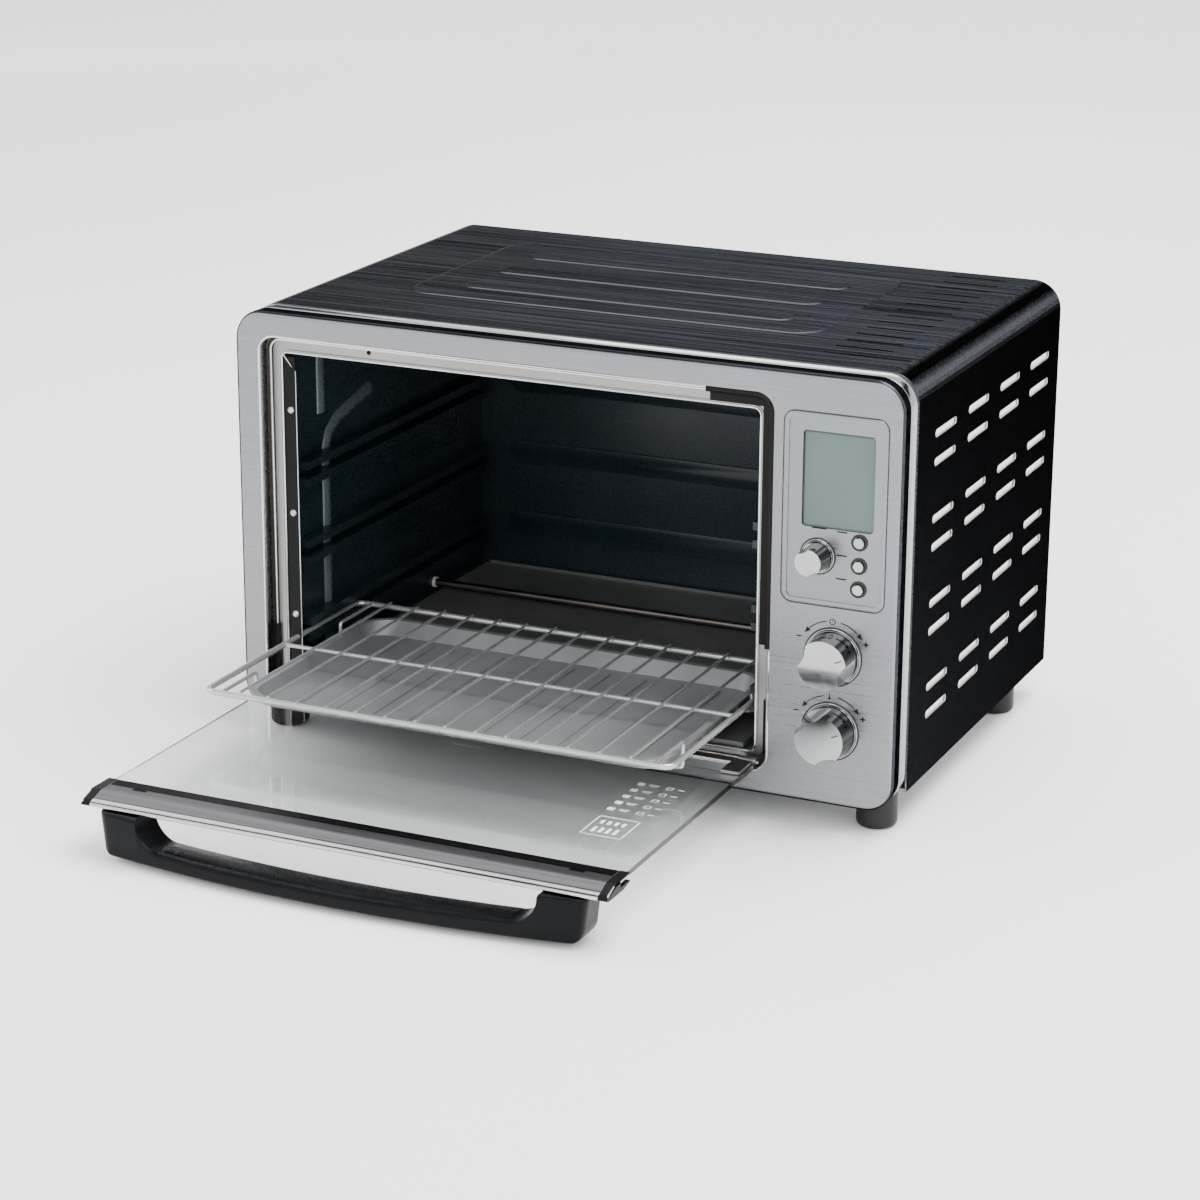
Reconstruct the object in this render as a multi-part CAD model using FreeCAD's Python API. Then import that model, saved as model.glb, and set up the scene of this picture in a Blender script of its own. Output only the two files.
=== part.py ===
import FreeCAD
import Part
import math
import os

V = FreeCAD.Vector

# Units are millimetres. X runs to the right, Y to the back, Z up.
# The origin lies on the standing plane under the middle of the body.

# Outer body
bodyWidth = 530.0
bodyDepth = 356.0
bodyTop = 336.0
footHeight = 28.0
outerSheet = 1.0
wrapCorner = 22.0
wrapFlange = 16.0

# Front bezel, a pressed frame with a rolled double edge
bezelDepth = 28.0
bezelStep = 13.0
bezelSheet = 1.2
bezelDrop = 8.0
edgeRoll = 3.2
beadRise = 0.6
wrapGap = 1.0

# Door recess in the bezel, left of the control panel
recessMargin = 20.0
controlPanel = 97.0
recessSill = 9.0
recessHead = 18.5
recessCorner = 13.0
recessDepth = 12.0

# Mouth of the cavity, and the cavity itself
mouthLedge = 14.0
mouthSill = 11.0
mouthHead = 14.5
mouthCorner = 5.0
frameSheet = 1.0
frameOverlap = 6.0
linerSheet = 0.8
linerInset = 0.5
roofRise = 6.0
rearGap = 16.0
bayGap = 12.0
guideDepth = 10.0
guideHeight = 6.0
guidePitch = 62.0
guideCount = 3
guideOpening = 6.0

# Door, shown lying open
hingeBack = 4.0
hingeRise = 5.0
glassThickness = 4.0
glassStart = 10.2
glassSideGap = 7.5
railSideGap = 4.0
railHeadGap = 5.5
railDepth = 37.0
railGrip = 13.0
railSheet = 1.0
railLip = 7.0
capLength = 7.0
pinDiameter = 3.0
barrelDiameter = 7.0
clipWidth = 14.0
clipReach = 34.0
clipJaw = 2.0
bracketWidth = 6.0
bracketHeight = 52.0
bracketDepth = 8.0

# Door handle
handleInset = 11.0
handlePost = 33.0
handleFlare = 18.0
handleBar = 13.0
handleDrop = 33.0
handleDepth = 30.0
handleLead = 2.0
handleBow = 16.0
handleCorner = 6.0
handleScrew = 4.0

# Rack and bake pan, drawn half out with the open door
rackOut = 125.0
rackRise = 32.0
rackShort = 95.0
rackSideGap = 6.5
frameWire = 4.5
thinWire = 2.4
thinWirePitch = 24.0
hookReach = 52.0
hookWire = 3.0
hookToe = 14.0
hookDrop = 19.5
panDepth = 10.8
panInset = 15.5
panSheet = 0.8
panSetBack = 19.0
panEndSlope = 10.0
panSideSlope = 3.0
panRim = 4.0
panRibPitch = 30.0

# Crumb tray
traySideGap = 9.0
traySheet = 0.7
trayLip = 3.3

# Heating elements
rodDiameter = 6.5
lowerRodRise = 7.2
upperRodDrop = 11.0
rodEndGap = 90.0
insulatorDiameter = 12.0

# Controls, measured in from the right side of the body
lcdWidth = 53.7
lcdInset = 47.3
lcdHead = 40.4
lcdSill = 55.5
lensSheet = 1.5
lensMargin = 2.0
boardBack = 15.0
boardSheet = 1.6
boardMargin = 11.0
boardWidth = 78.0
temperatureRise = 48.5
knobPitch = 55.8
panelRise = 38.2
panelHead = 28.8
panelInset = 12.5
panelWidth = 74.5
functionInset = 61.2
functionRise = 34.7
timerInset = 47.9
temperatureInset = 48.6
buttonInset = 30.4
buttonRise = 14.1
buttonPitch = 17.1
buttonDiameter = 8.2
buttonRing = 13.4
buttonProud = 3.0
buttonTravel = 0.8
shaftDiameter = 6.0
bushDiameter = 9.0
encoderSize = 13.0
encoderDepth = 6.5
bigKnobDiameter = 38.0
bigKnobProud = 23.0
bigRingDiameter = 44.0
smallKnobDiameter = 21.0
smallKnobProud = 20.0
smallRingDiameter = 27.0
ringProud = 2.5
knobShell = 1.6

# Convection fan in the control bay
fanDiameter = 92.0
fanBladeDepth = 16.0
fanBack = 196.0
fanHeight = 178.0
fanShaft = 5.0
motorDiameter = 52.0
motorLength = 30.0
fanScrollSheet = 1.0

# Electrical parts and hardware
powerBoardLength = 90.0
powerBoardHeight = 60.0
powerBoardRise = 172.0
relayDepth = 16.0
relayPitch = 27.0
fuseRise = 112.0
rearPanelInset = 1.5
glandInset = 43.0
glandRise = 34.0
footDiameter = 30.0
footInset = 22.0
footFront = 30.0
footRearGap = 56.0
screwHead = 7.0
screwShank = 3.6

# Side slots, top vents and the pressed top
slotLength = 45.0
slotHeight = 6.0
slotFirst = 88.0
slotRearGap = 49.0
slotColumns = 4
slotPairGap = 21.0
slotPairs = 4
slotHead = 51.3
slotSill = 67.4
ventLength = 44.0
ventWidth = 3.2
ventInset = 61.8
ventFirst = 63.0
ventRearGap = 16.0
ventCount = 14
topLeftMargin = 85.0
topRightMargin = 107.0
topFrontMargin = 104.0
topRearMargin = 48.0
topCorner = 24.0
topRise = 1.2
topRibWidth = 26.0
topRibInset = 35.0
topRibPitch = 57.5

# Clearances
slip = 0.3
fit = 0.15
running = 0.08

# Derived places
front = -bodyDepth / 2
rear = bodyDepth / 2
bodyHalf = bodyWidth / 2
wrapFront = front + bezelDepth + wrapGap
innerHalf = bodyHalf - outerSheet
innerTop = bodyTop - outerSheet
recessLeft = -bodyHalf + recessMargin
recessRight = bodyHalf - controlPanel
recessWidth = recessRight - recessLeft
recessBottom = footHeight + recessSill
recessTop = bodyTop - recessHead
doorCentreX = (recessLeft + recessRight) / 2
frameFront = front + recessDepth
linerFront = frameFront + frameSheet
mouthLeft = recessLeft + mouthLedge
mouthRight = recessRight - mouthLedge
mouthBottom = recessBottom + mouthSill
mouthTop = recessTop - mouthHead
cavityLeft = mouthLeft + linerInset
cavityRight = mouthRight - linerInset
cavityWidth = cavityRight - cavityLeft
cavityFloor = mouthBottom
cavityTop = mouthTop + roofRise
cavityBack = rear - rearGap
bayLeft = cavityRight + bayGap
hingeY = front + hingeBack
hingeHeight = recessBottom + hingeRise
glassTop = hingeHeight + glassThickness / 2
glassUnder = hingeHeight - glassThickness / 2
glassWidth = recessWidth - 2 * glassSideGap
railWidth = recessWidth - 2 * railSideGap
railEnd = recessTop - railHeadGap - hingeHeight
railStart = railEnd - railDepth
glassEnd = railStart + railGrip
handleWidth = glassWidth - 2 * handleInset
handleEnd = railEnd + handleLead
handleStart = handleEnd - handleDepth
rackHeight = mouthBottom + rackRise
rackFront = front - rackOut
rackLength = cavityBack - linerFront - rackShort
rackWidth = cavityWidth - 2 * rackSideGap
railX = rackWidth / 2
thinWireCount = int((rackWidth - 2 * thinWirePitch) / thinWirePitch) + 1
panWidth = rackWidth - 2 * panInset
toeTop = rackHeight - hookDrop + hookWire / 2
panBottom = toeTop + slip
trayWidth = cavityWidth - 2 * traySideGap
lowerRodHeight = cavityFloor + lowerRodRise
upperRodHeight = cavityTop - upperRodDrop
frontRod = rodEndGap
rearRod = cavityBack - front - rodEndGap
boardFront = front + boardBack
temperatureX = bodyHalf - temperatureInset
temperatureZ = footHeight + temperatureRise
timerX = bodyHalf - timerInset
timerZ = temperatureZ + knobPitch
panelBottom = timerZ + panelRise
panelTop = bodyTop - panelHead
panelRight = bodyHalf - panelInset
panelLeft = panelRight - panelWidth
functionX = bodyHalf - functionInset
functionZ = panelBottom + functionRise
buttonX = bodyHalf - buttonInset
buttonZ = panelBottom + buttonRise + 2 * buttonPitch
lcdX = bodyHalf - lcdInset
lcdHeight = bodyTop - lcdHead - panelBottom - lcdSill
lcdZ = bodyTop - lcdHead - lcdHeight / 2
boardRight = bodyHalf - boardMargin
boardLeft = boardRight - boardWidth
probeBack = 150.0
probeHeight = upperRodHeight - 20.0
footSpread = bodyHalf - footInset
footRear = bodyDepth - footRearGap
glandX = bodyHalf - glandInset
glandZ = footHeight + glandRise
slotTopRow = bodyTop - slotHead
slotColumnPitch = (bodyDepth - slotFirst - slotRearGap) / (slotColumns - 1)
slotPairPitch = (slotTopRow - footHeight - slotSill) / (slotPairs - 1)
ventX = bodyHalf - ventInset
ventPitch = (bodyDepth - ventFirst - ventRearGap) / (ventCount - 1)
controls = (
    ("function", functionX, functionZ, smallKnobDiameter, smallKnobProud, smallRingDiameter, 115.0),
    ("timer", timerX, timerZ, bigKnobDiameter, bigKnobProud, bigRingDiameter, 160.0),
    ("temperature", temperatureX, temperatureZ, bigKnobDiameter, bigKnobProud, bigRingDiameter, 110.0),
)
buttonNames = ("upper", "middle", "lower")
footPlaces = (
    ("front_left", -footSpread, front + footFront),
    ("front_right", footSpread, front + footFront),
    ("rear_left", -footSpread, front + footRear),
    ("rear_right", footSpread, front + footRear),
)


def box(x0, x1, y0, y1, z0, z1):
    return Part.makeBox(x1 - x0, y1 - y0, z1 - z0, V(x0, y0, z0))


def cylinderX(x0, x1, y, z, radius):
    return Part.makeCylinder(radius, x1 - x0, V(x0, y, z), V(1, 0, 0))


def cylinderY(y0, y1, x, z, radius):
    return Part.makeCylinder(radius, y1 - y0, V(x, y0, z), V(0, 1, 0))


def cylinderZ(z0, z1, x, y, radius):
    return Part.makeCylinder(radius, z1 - z0, V(x, y, z0), V(0, 0, 1))


def fuse(shapes):
    result = shapes[0].fuse(list(shapes[1:])) if len(shapes) > 1 else shapes[0]
    return result.removeSplitter()


def roundedFace(x0, x1, z0, z1, radius, y):
    """Face in the XZ plane at y with four rounded corners."""
    edges = []
    corners = (
        (x1 - radius, z0 + radius, -90),
        (x1 - radius, z1 - radius, 0),
        (x0 + radius, z1 - radius, 90),
        (x0 + radius, z0 + radius, 180),
    )
    points = []
    for cx, cz, start in corners:
        for turn in (0, 45, 90):
            angle = math.radians(start + turn)
            points.append(V(cx + radius * math.cos(angle), y, cz + radius * math.sin(angle)))
    for i in range(4):
        a, b, c = points[3 * i: 3 * i + 3]
        edges.append(Part.Arc(a, b, c).toShape())
        edges.append(Part.LineSegment(c, points[(3 * i + 3) % 12]).toShape())
    return Part.Face(Part.Wire(edges))


def roundedBlock(x0, x1, z0, z1, radius, y0, y1):
    """Rounded rectangle in XZ drawn out along Y."""
    return roundedFace(x0, x1, z0, z1, radius, y0).extrude(V(0, y1 - y0, 0))


def polyBlockX(points, x0, x1):
    """Profile of (y, z) points drawn out along X."""
    wire = Part.makePolygon([V(x0, y, z) for y, z in points] + [V(x0, *points[0])])
    return Part.Face(wire).extrude(V(x1 - x0, 0, 0))


def stadiumX(y, z, length, height, x0, x1):
    """Slot cutter through a side wall, long in Y."""
    r = height / 2
    half = length / 2 - r
    middle = box(x0, x1, y - half, y + half, z - r, z + r)
    return fuse([middle, cylinderX(x0, x1, y - half, z, r), cylinderX(x0, x1, y + half, z, r)])


def stadiumZ(x, y, length, width, z0, z1):
    """Slot cutter or rib on a level wall, long in X."""
    r = width / 2
    half = length / 2 - r
    middle = box(x - half, x + half, y - r, y + r, z0, z1)
    return fuse([middle, cylinderZ(z0, z1, x - half, y, r), cylinderZ(z0, z1, x + half, y, r)])


def bentWire(points, diameter, radius):
    """Round wire of straight runs joined by tangent arcs."""
    edges = []
    last = points[0]
    for a, b, c in zip(points, points[1:], points[2:]):
        back = (a - b).normalize()
        ahead = (c - b).normalize()
        turn = math.pi - back.getAngle(ahead)
        cut = radius * math.tan(turn / 2)
        start = b + back * cut
        stop = b + ahead * cut
        middle = (back + ahead).normalize()
        bow = b + middle * (radius / math.cos(turn / 2) - radius)
        edges.append(Part.LineSegment(last, start).toShape())
        edges.append(Part.Arc(start, bow, stop).toShape())
        last = stop
    edges.append(Part.LineSegment(last, points[-1]).toShape())
    path = Part.Wire(edges)
    axis = (points[1] - points[0]).normalize()
    ring = Part.Wire(Part.Circle(points[0], axis, diameter / 2).toShape())
    return path.makePipeShell([ring], True, True)


def sideSlots(x0, x1):
    cutters = []
    for column in range(slotColumns):
        y = front + slotFirst + column * slotColumnPitch
        for pair in range(slotPairs):
            for row in range(2):
                z = slotTopRow - pair * slotPairPitch - row * slotPairGap
                cutters.append(stadiumX(y, z, slotLength, slotHeight, x0, x1))
    return cutters


def topVents(z0, z1):
    return [
        stadiumZ(ventX, front + ventFirst + i * ventPitch, ventLength, ventWidth, z0, z1)
        for i in range(ventCount)
    ]


def outerWrap():
    """Sheet cover over the top and both sides, with flanges under the base plate edge."""
    z0 = footHeight
    outer = roundedBlock(-bodyHalf, bodyHalf, z0 - wrapCorner, bodyTop, wrapCorner, wrapFront, rear)
    inner = roundedBlock(
        -innerHalf, innerHalf, z0 - wrapCorner, innerTop, wrapCorner - outerSheet, wrapFront - 1, rear + 1)
    shell = outer.cut(inner)
    shell = shell.cut(box(-bodyWidth, bodyWidth, wrapFront - 1, rear + 1, -bodyTop, z0))
    flanges = [
        box(-innerHalf, -innerHalf + wrapFlange, wrapFront, rear, z0, z0 + outerSheet),
        box(innerHalf - wrapFlange, innerHalf, wrapFront, rear, z0, z0 + outerSheet),
    ]
    shell = fuse([shell] + flanges + rearTabs())
    for name, x, y in footPlaces:
        shell = shell.cut(cylinderZ(z0 - 1, z0 + 2 * outerSheet, x, y, screwShank / 2 + fit))
    reach = bodyHalf + outerSheet
    cutters = sideSlots(innerHalf - outerSheet, reach) + sideSlots(-reach, -innerHalf + outerSheet)
    cutters += topVents(innerTop - outerSheet, bodyTop + outerSheet)
    shell = shell.cut(Part.makeCompound(cutters))
    return fuse([shell] + topRibs())


def topRibs():
    """Pressed ribs and the raised outline on the top sheet."""
    left = -bodyHalf + topLeftMargin
    right = bodyHalf - topRightMargin
    y0 = front + topFrontMargin
    y1 = rear - topRearMargin
    line = 3.5
    outer = roundedTop(left, right, y0, y1, topCorner)
    inner = roundedTop(left + line, right - line, y0 + line, y1 - line, topCorner - line)
    ribs = [outer.cut(inner)]
    length = right - left - 2 * topRibInset
    middle = (left + right) / 2
    for i in (-1, 0, 1):
        y = (y0 + y1) / 2 + i * topRibPitch
        ring = stadiumZ(middle, y, length, topRibWidth, bodyTop, bodyTop + topRise)
        hollow = stadiumZ(middle, y, length - 6.0, topRibWidth - 6.0, bodyTop - 1, bodyTop + 2 * topRise)
        ribs.append(ring.cut(hollow))
    return ribs


def roundedTop(x0, x1, y0, y1, radius):
    block = box(x0, x1, y0, y1, bodyTop, bodyTop + topRise)
    upright = [e for e in block.Edges if abs(e.Vertexes[0].Z - e.Vertexes[1].Z) > topRise / 2]
    return block.makeFillet(radius, upright)


def frontBezel():
    """Pressed front with a rolled edge, the door recess and the control openings."""
    z0 = footHeight - bezelDrop
    half = bodyHalf - beadRise
    inset = wrapCorner - beadRise
    face = roundedBlock(-half, half, z0 + beadRise, bodyTop - beadRise, inset, front, front + bezelStep)
    rim = [e for e in face.Edges if abs(e.BoundBox.YMin - front) < 0.01 and e.BoundBox.YLength < 0.01]
    face = face.makeFillet(edgeRoll, rim)
    bead = roundedBlock(
        -bodyHalf, bodyHalf, z0, bodyTop, wrapCorner, front + bezelStep, front + bezelDepth)
    shell = face.fuse(bead)
    wall = edgeRoll + bezelSheet
    hollow = roundedBlock(
        -bodyHalf + wall, bodyHalf - wall, z0 + wall, bodyTop - wall, wrapCorner - wall,
        front + bezelSheet, front + bezelDepth + 1)
    shell = shell.cut(hollow)
    x0 = recessLeft
    x1 = recessRight
    sleeve = roundedBlock(
        x0 - bezelSheet, x1 + bezelSheet, recessBottom - bezelSheet, recessTop + bezelSheet,
        recessCorner + bezelSheet, front + bezelSheet / 2, frameFront)
    opening = roundedBlock(x0, x1, recessBottom, recessTop, recessCorner, front - 1, frameFront + 1)
    shell = shell.fuse(sleeve).cut(opening)
    lip = [e for e in shell.Edges if recessLip(e, x0, x1)]
    shell = shell.makeFillet(bezelSheet * 0.8, lip)
    shell = shell.fuse(controlEmboss())
    notches = [cylinderZ(0, footHeight, x, y, footDiameter / 2 + slip) for name, x, y in footPlaces]
    shell = shell.cut(Part.makeCompound(notches))
    return shell.cut(Part.makeCompound(bezelHoles())).removeSplitter()


def recessLip(edge, x0, x1):
    bounds = edge.BoundBox
    flat = abs(bounds.YMin - front) < 0.01 and bounds.YLength < 0.01
    return flat and bounds.XMin > x0 - 1 and bounds.XMax < x1 + 1


def controlEmboss():
    """Raised outline round the display, function knob and buttons."""
    rise = 1.0
    x0 = panelLeft
    x1 = panelRight
    z0 = panelBottom
    z1 = panelTop
    outer = roundedBlock(x0, x1, z0, z1, 7.0, front - rise, front)
    inner = roundedBlock(x0 + 2.6, x1 - 2.6, z0 + 2.6, z1 - 2.6, 4.4, front - rise - 1, front + 1)
    return outer.cut(inner)


def bezelHoles():
    halfW = lcdWidth / 2
    halfH = lcdHeight / 2
    cutters = [roundedBlock(
        lcdX - halfW, lcdX + halfW, lcdZ - halfH, lcdZ + halfH, 3.0, front - 1, front + bezelSheet + 1)]
    for name, x, z, diameter, proud, ring, turn in controls:
        cutters.append(cylinderY(front - 1, front + bezelSheet + 1, x, z, bushDiameter / 2 + fit))
    for i in range(len(buttonNames)):
        z = buttonZ - i * buttonPitch
        cutters.append(cylinderY(front - 1, front + bezelSheet + 1, buttonX, z, buttonRing / 2 - 0.6))
    return cutters


def chamberFrame():
    """Flat ring behind the door recess, with a rolled lip round the mouth."""
    x0 = recessLeft - frameOverlap
    x1 = recessRight + frameOverlap
    plate = roundedBlock(
        x0, x1, recessBottom - frameOverlap, recessTop + frameOverlap, recessCorner + frameOverlap,
        frameFront, linerFront)
    lip = roundedBlock(
        mouthLeft - 2.5, mouthRight + 2.5, mouthBottom - 2.5, mouthTop + 2.5, mouthCorner + 2.5,
        frameFront - 1.2, frameFront + frameSheet / 2)
    mouth = roundedBlock(
        mouthLeft, mouthRight, mouthBottom, mouthTop, mouthCorner, frameFront - 2, linerFront + 1)
    holes = [cylinderY(frameFront - 3, linerFront + 1, mouthLeft + 73.0, (mouthTop + recessTop) / 2, 1.8)]
    return plate.fuse(lip).cut(mouth).cut(Part.makeCompound(holes)).removeSplitter()


def cavityLiner():
    """Enamelled oven chamber, open at the front, with pressed rack guides."""
    t = linerSheet
    outer = box(cavityLeft - t, cavityRight + t, linerFront, cavityBack + t, cavityFloor - t, cavityTop + t)
    inner = box(cavityLeft, cavityRight, linerFront - 1, cavityBack, cavityFloor, cavityTop)
    shell = outer.cut(inner)
    guides = []
    grooves = []
    for i in range(guideCount):
        under = rackHeight - frameWire / 2 - slip + i * guidePitch
        over = under + frameWire + guideOpening / 2
        for z1 in (under, over + guideHeight):
            z0 = z1 - guideHeight
            for wall, toward in ((cavityLeft, 1), (cavityRight, -1)):
                near, far = sorted((wall, wall + toward * guideDepth))
                guides.append(box(near, far, linerFront + 14.0, cavityBack - 12.0, z0, z1))
                near, far = sorted((wall - toward * (t + 1), wall + toward * (guideDepth - t)))
                grooves.append(box(near, far, linerFront + 14.0 + t, cavityBack - 12.0 - t, z0 + t, z1 - t))
    shell = fuse([shell] + guides).cut(Part.makeCompound(grooves))
    cutters = []
    for rodY in (frontRod, rearRod):
        for rodZ in (lowerRodHeight, upperRodHeight):
            cutters.append(cylinderX(
                cavityLeft - 2, cavityRight + 2, front + rodY, rodZ, insulatorDiameter / 2 - 1.5))
    cutters += fanGrille()
    cutters.append(cylinderX(cavityRight - 1, cavityRight + 2, front + probeBack, probeHeight, 3.0))
    shell = shell.cut(Part.makeCompound(cutters))
    ribs = []
    for i in range(3):
        z = 122.0 + i * 62.0
        ribs.append(box(doorCentreX - 128, doorCentreX + 128, cavityBack - 2.2, cavityBack, z, z + 20.0))
    return fuse([shell] + ribs)


def fanGrille():
    """Round of small holes in the right wall, in front of the fan."""
    cutters = []
    for ring, count in ((12.0, 6), (24.0, 12), (36.0, 18)):
        for i in range(count):
            angle = 2 * math.pi * i / count
            y = front + fanBack + ring * math.cos(angle)
            z = fanHeight + ring * math.sin(angle)
            if abs(guideClearance(z)) > 6.5:
                cutters.append(cylinderX(cavityRight - 1, cavityRight + 2, y, z, 2.5))
    return cutters


def guideClearance(z):
    """Height from z to the middle of the nearest pair of rack guides."""
    middles = [rackHeight + i * guidePitch for i in range(guideCount)]
    return min((z - m for m in middles), key=abs)


def sealStrip():
    """Black steam seal on the control side of the chamber frame."""
    x1 = mouthRight + 9.5
    left = mouthRight - 38.0
    z1 = mouthTop + 9.5
    outer = box(left, x1, frameFront - 3.2, frameFront, 130.0, z1)
    corner = [e for e in outer.Edges if e.BoundBox.YLength > 3 and e.BoundBox.XMin > x1 - 1
              and e.BoundBox.ZMin > z1 - 1]
    outer = outer.makeFillet(9.0, corner)
    inner = box(left - 1, mouthRight + 2.7, frameFront - 4, frameFront + 1, 129.0, mouthTop + 2.7)
    strip = outer.cut(inner)
    edge = [e for e in strip.Edges if e.BoundBox.YLength < 0.01 and abs(e.BoundBox.YMin - frameFront + 3.2) < 0.01]
    return strip.makeFillet(1.2, edge)


def bulkhead():
    """Upright divider between the chamber and the control bay."""
    x0 = bayLeft
    plate = box(x0, x0 + linerSheet, linerFront, rear - rearPanelInset - outerSheet, footHeight + 2 * outerSheet,
                cavityTop + roofRise * 2)
    foot = box(x0, x0 + 14.0, linerFront + 1, rear - rearPanelInset - outerSheet, footHeight + 2 * outerSheet,
               footHeight + 2 * outerSheet + linerSheet)
    opening = cylinderX(x0 - 1, x0 + 2, front + fanBack, fanHeight, fanDiameter / 2 + 5.0)
    holes = [opening]
    for rodY in (frontRod, rearRod):
        for rodZ in (lowerRodHeight, upperRodHeight):
            holes.append(cylinderX(x0 - 1, x0 + 2, front + rodY, rodZ, insulatorDiameter / 2 + slip))
    holes.append(cylinderX(x0 - 1, x0 + 2, front + probeBack, probeHeight, 3.6))
    return fuse([plate, foot]).cut(Part.makeCompound(holes))


def basePlate():
    """Bottom sheet, lying on the flanges of the wrap."""
    z0 = footHeight + outerSheet
    plate = box(-innerHalf + slip, innerHalf - slip, wrapFront, rear - rearPanelInset - outerSheet,
                z0, z0 + outerSheet)
    inside = bodyHalf - edgeRoll - bezelSheet - wrapCorner
    plate = plate.fuse(box(-inside, inside, linerFront, wrapFront, z0, z0 + outerSheet))
    cutters = []
    for name, x, y in footPlaces:
        cutters.append(cylinderZ(z0 - 1, z0 + 2, x, y, screwShank / 2 + fit))
    for row in range(3):
        for i in range(9):
            cutters.append(stadiumZ(
                doorCentreX + 100.0 * (row - 1), front + 70.0 + 28.0 * i, 60.0, 4.0, z0 - 1, z0 + 2))
    return plate.cut(Part.makeCompound(cutters))


def rearPanel():
    """Back sheet with vent rows and the inlet for the mains lead."""
    y1 = rear - rearPanelInset
    y0 = y1 - outerSheet
    z0 = footHeight + outerSheet
    plate = roundedBlock(
        -innerHalf + slip, innerHalf - slip, z0 - wrapCorner, innerTop - slip, wrapCorner - outerSheet - slip, y0, y1)
    plate = plate.cut(box(-bodyWidth, bodyWidth, y0 - 1, y1 + 1, -bodyTop, z0))
    cutters = []
    for row in range(5):
        for i in range(3):
            x = bodyHalf - 75.0 + 22.0 * i
            cutters.append(roundedBlock(
                x - 8.0, x + 8.0, 120.0 + 24.0 * row, 124.0 + 24.0 * row, 1.9, y0 - 1, y1 + 1))
    for i in range(9):
        x = -bodyHalf + 75.0 + 36.0 * i
        cutters.append(roundedBlock(x - 12.0, x + 12.0, bodyTop - 40.0, bodyTop - 36.0, 1.9, y0 - 1, y1 + 1))
    cutters.append(cylinderY(y0 - 1, y1 + 1, glandX, glandZ, 7.0))
    for x, z in coverScrewPlaces():
        cutters.append(cylinderY(y0 - 1, y1 + 1, x, z, screwShank / 2 + fit))
    return plate.cut(Part.makeCompound(cutters))


def coverScrewPlaces():
    side = innerHalf - 5.0
    top = innerTop - 5.0
    low = footHeight + 32.0
    high = innerTop - 50.0
    return [(-side, low), (side, low), (-side, high), (side, high), (-90.0, top), (90.0, top)]


def rearTabs():
    """Blocks welded inside the wrap that the rear screws bite into."""
    y1 = rear - rearPanelInset - outerSheet
    pieces = []
    for x, z in coverScrewPlaces():
        block = box(x - 5.0, x + 5.0, y1 - 8.0, y1, z - 5.0, z + 5.0)
        pieces.append(block.cut(cylinderY(y1 - 9.0, y1 + 1, x, z, screwShank / 2 + fit)))
    return pieces


def coverScrews():
    y1 = rear - rearPanelInset
    screws = []
    for x, z in coverScrewPlaces():
        head = cylinderY(y1, y1 + 2.0, x, z, screwHead / 2)
        head = head.makeFillet(0.8, [e for e in head.Edges if abs(e.BoundBox.YMin - y1 - 2.0) < 0.01])
        shank = cylinderY(y1 - 9.0, y1, x, z, screwShank / 2)
        cross = box(x - 2.2, x + 2.2, y1 + 1.2, y1 + 3, z - 0.5, z + 0.5)
        screws.append(fuse([head, shank]).cut(cross))
    return Part.makeCompound(screws)


def foot(x, y):
    """Rubber foot with a rounded tread and a recessed screw."""
    body = cylinderZ(0, footHeight, x, y, footDiameter / 2)
    tread = [e for e in body.Edges if abs(e.BoundBox.ZMax) < 0.01]
    body = body.makeFillet(4.0, tread)
    well = cylinderZ(-1, footHeight - 6.0, x, y, screwHead / 2 + 1.0)
    bore = cylinderZ(0, footHeight + 1, x, y, screwShank / 2 + fit)
    return body.cut(well).cut(bore)


def footScrews():
    screws = []
    for name, x, y in footPlaces:
        head = cylinderZ(footHeight - 8.5, footHeight - 6.0, x, y, screwHead / 2)
        shank = cylinderZ(footHeight - 6.0, footHeight + 8.0, x, y, screwShank / 2)
        screws.append(fuse([head, shank]))
    return Part.makeCompound(screws)


def topInsulation():
    """Mineral wool pad lying on the chamber roof."""
    z0 = cavityTop + linerSheet
    return box(cavityLeft + 6.0, cavityRight - 6.0, linerFront + 20.0, cavityBack - 6.0, z0, z0 + 10.0)


def rearInsulation():
    y0 = cavityBack + linerSheet
    return box(cavityLeft + 6.0, cavityRight - 6.0, y0, y0 + 6.0, cavityFloor + 4.0, cavityTop - 4.0)


def heatingElement(rodY, rodZ):
    """Tubular heater with its two terminal ends."""
    y = front + rodY
    rod = cylinderX(cavityLeft - 10.0, cavityRight + 10.0, y, rodZ, rodDiameter / 2)
    ends = [
        cylinderX(cavityLeft - 24.0, cavityLeft - 10.0, y, rodZ, 1.6),
        cylinderX(cavityRight + 10.0, cavityRight + 24.0, y, rodZ, 1.6),
    ]
    return fuse([rod] + ends)


def insulators():
    """Ceramic sleeves that hold the heater ends in the chamber walls."""
    pieces = []
    t = linerSheet
    for rodY in (frontRod, rearRod):
        for rodZ in (lowerRodHeight, upperRodHeight):
            y = front + rodY
            for wall, toward in ((cavityLeft - t, -1), (cavityRight + t, 1)):
                x0, x1 = sorted((wall, wall + toward * 8.0))
                flange = cylinderX(x0, x1, y, rodZ, insulatorDiameter / 2)
                x0, x1 = sorted((wall - toward * (t + 2.5), wall))
                neck = cylinderX(x0, x1, y, rodZ, insulatorDiameter / 2 - 1.5 - fit)
                bore = cylinderX(wall - 20, wall + 20, y, rodZ, rodDiameter / 2 + fit)
                pieces.append(fuse([flange, neck]).cut(bore))
    return Part.makeCompound(pieces)


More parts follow.
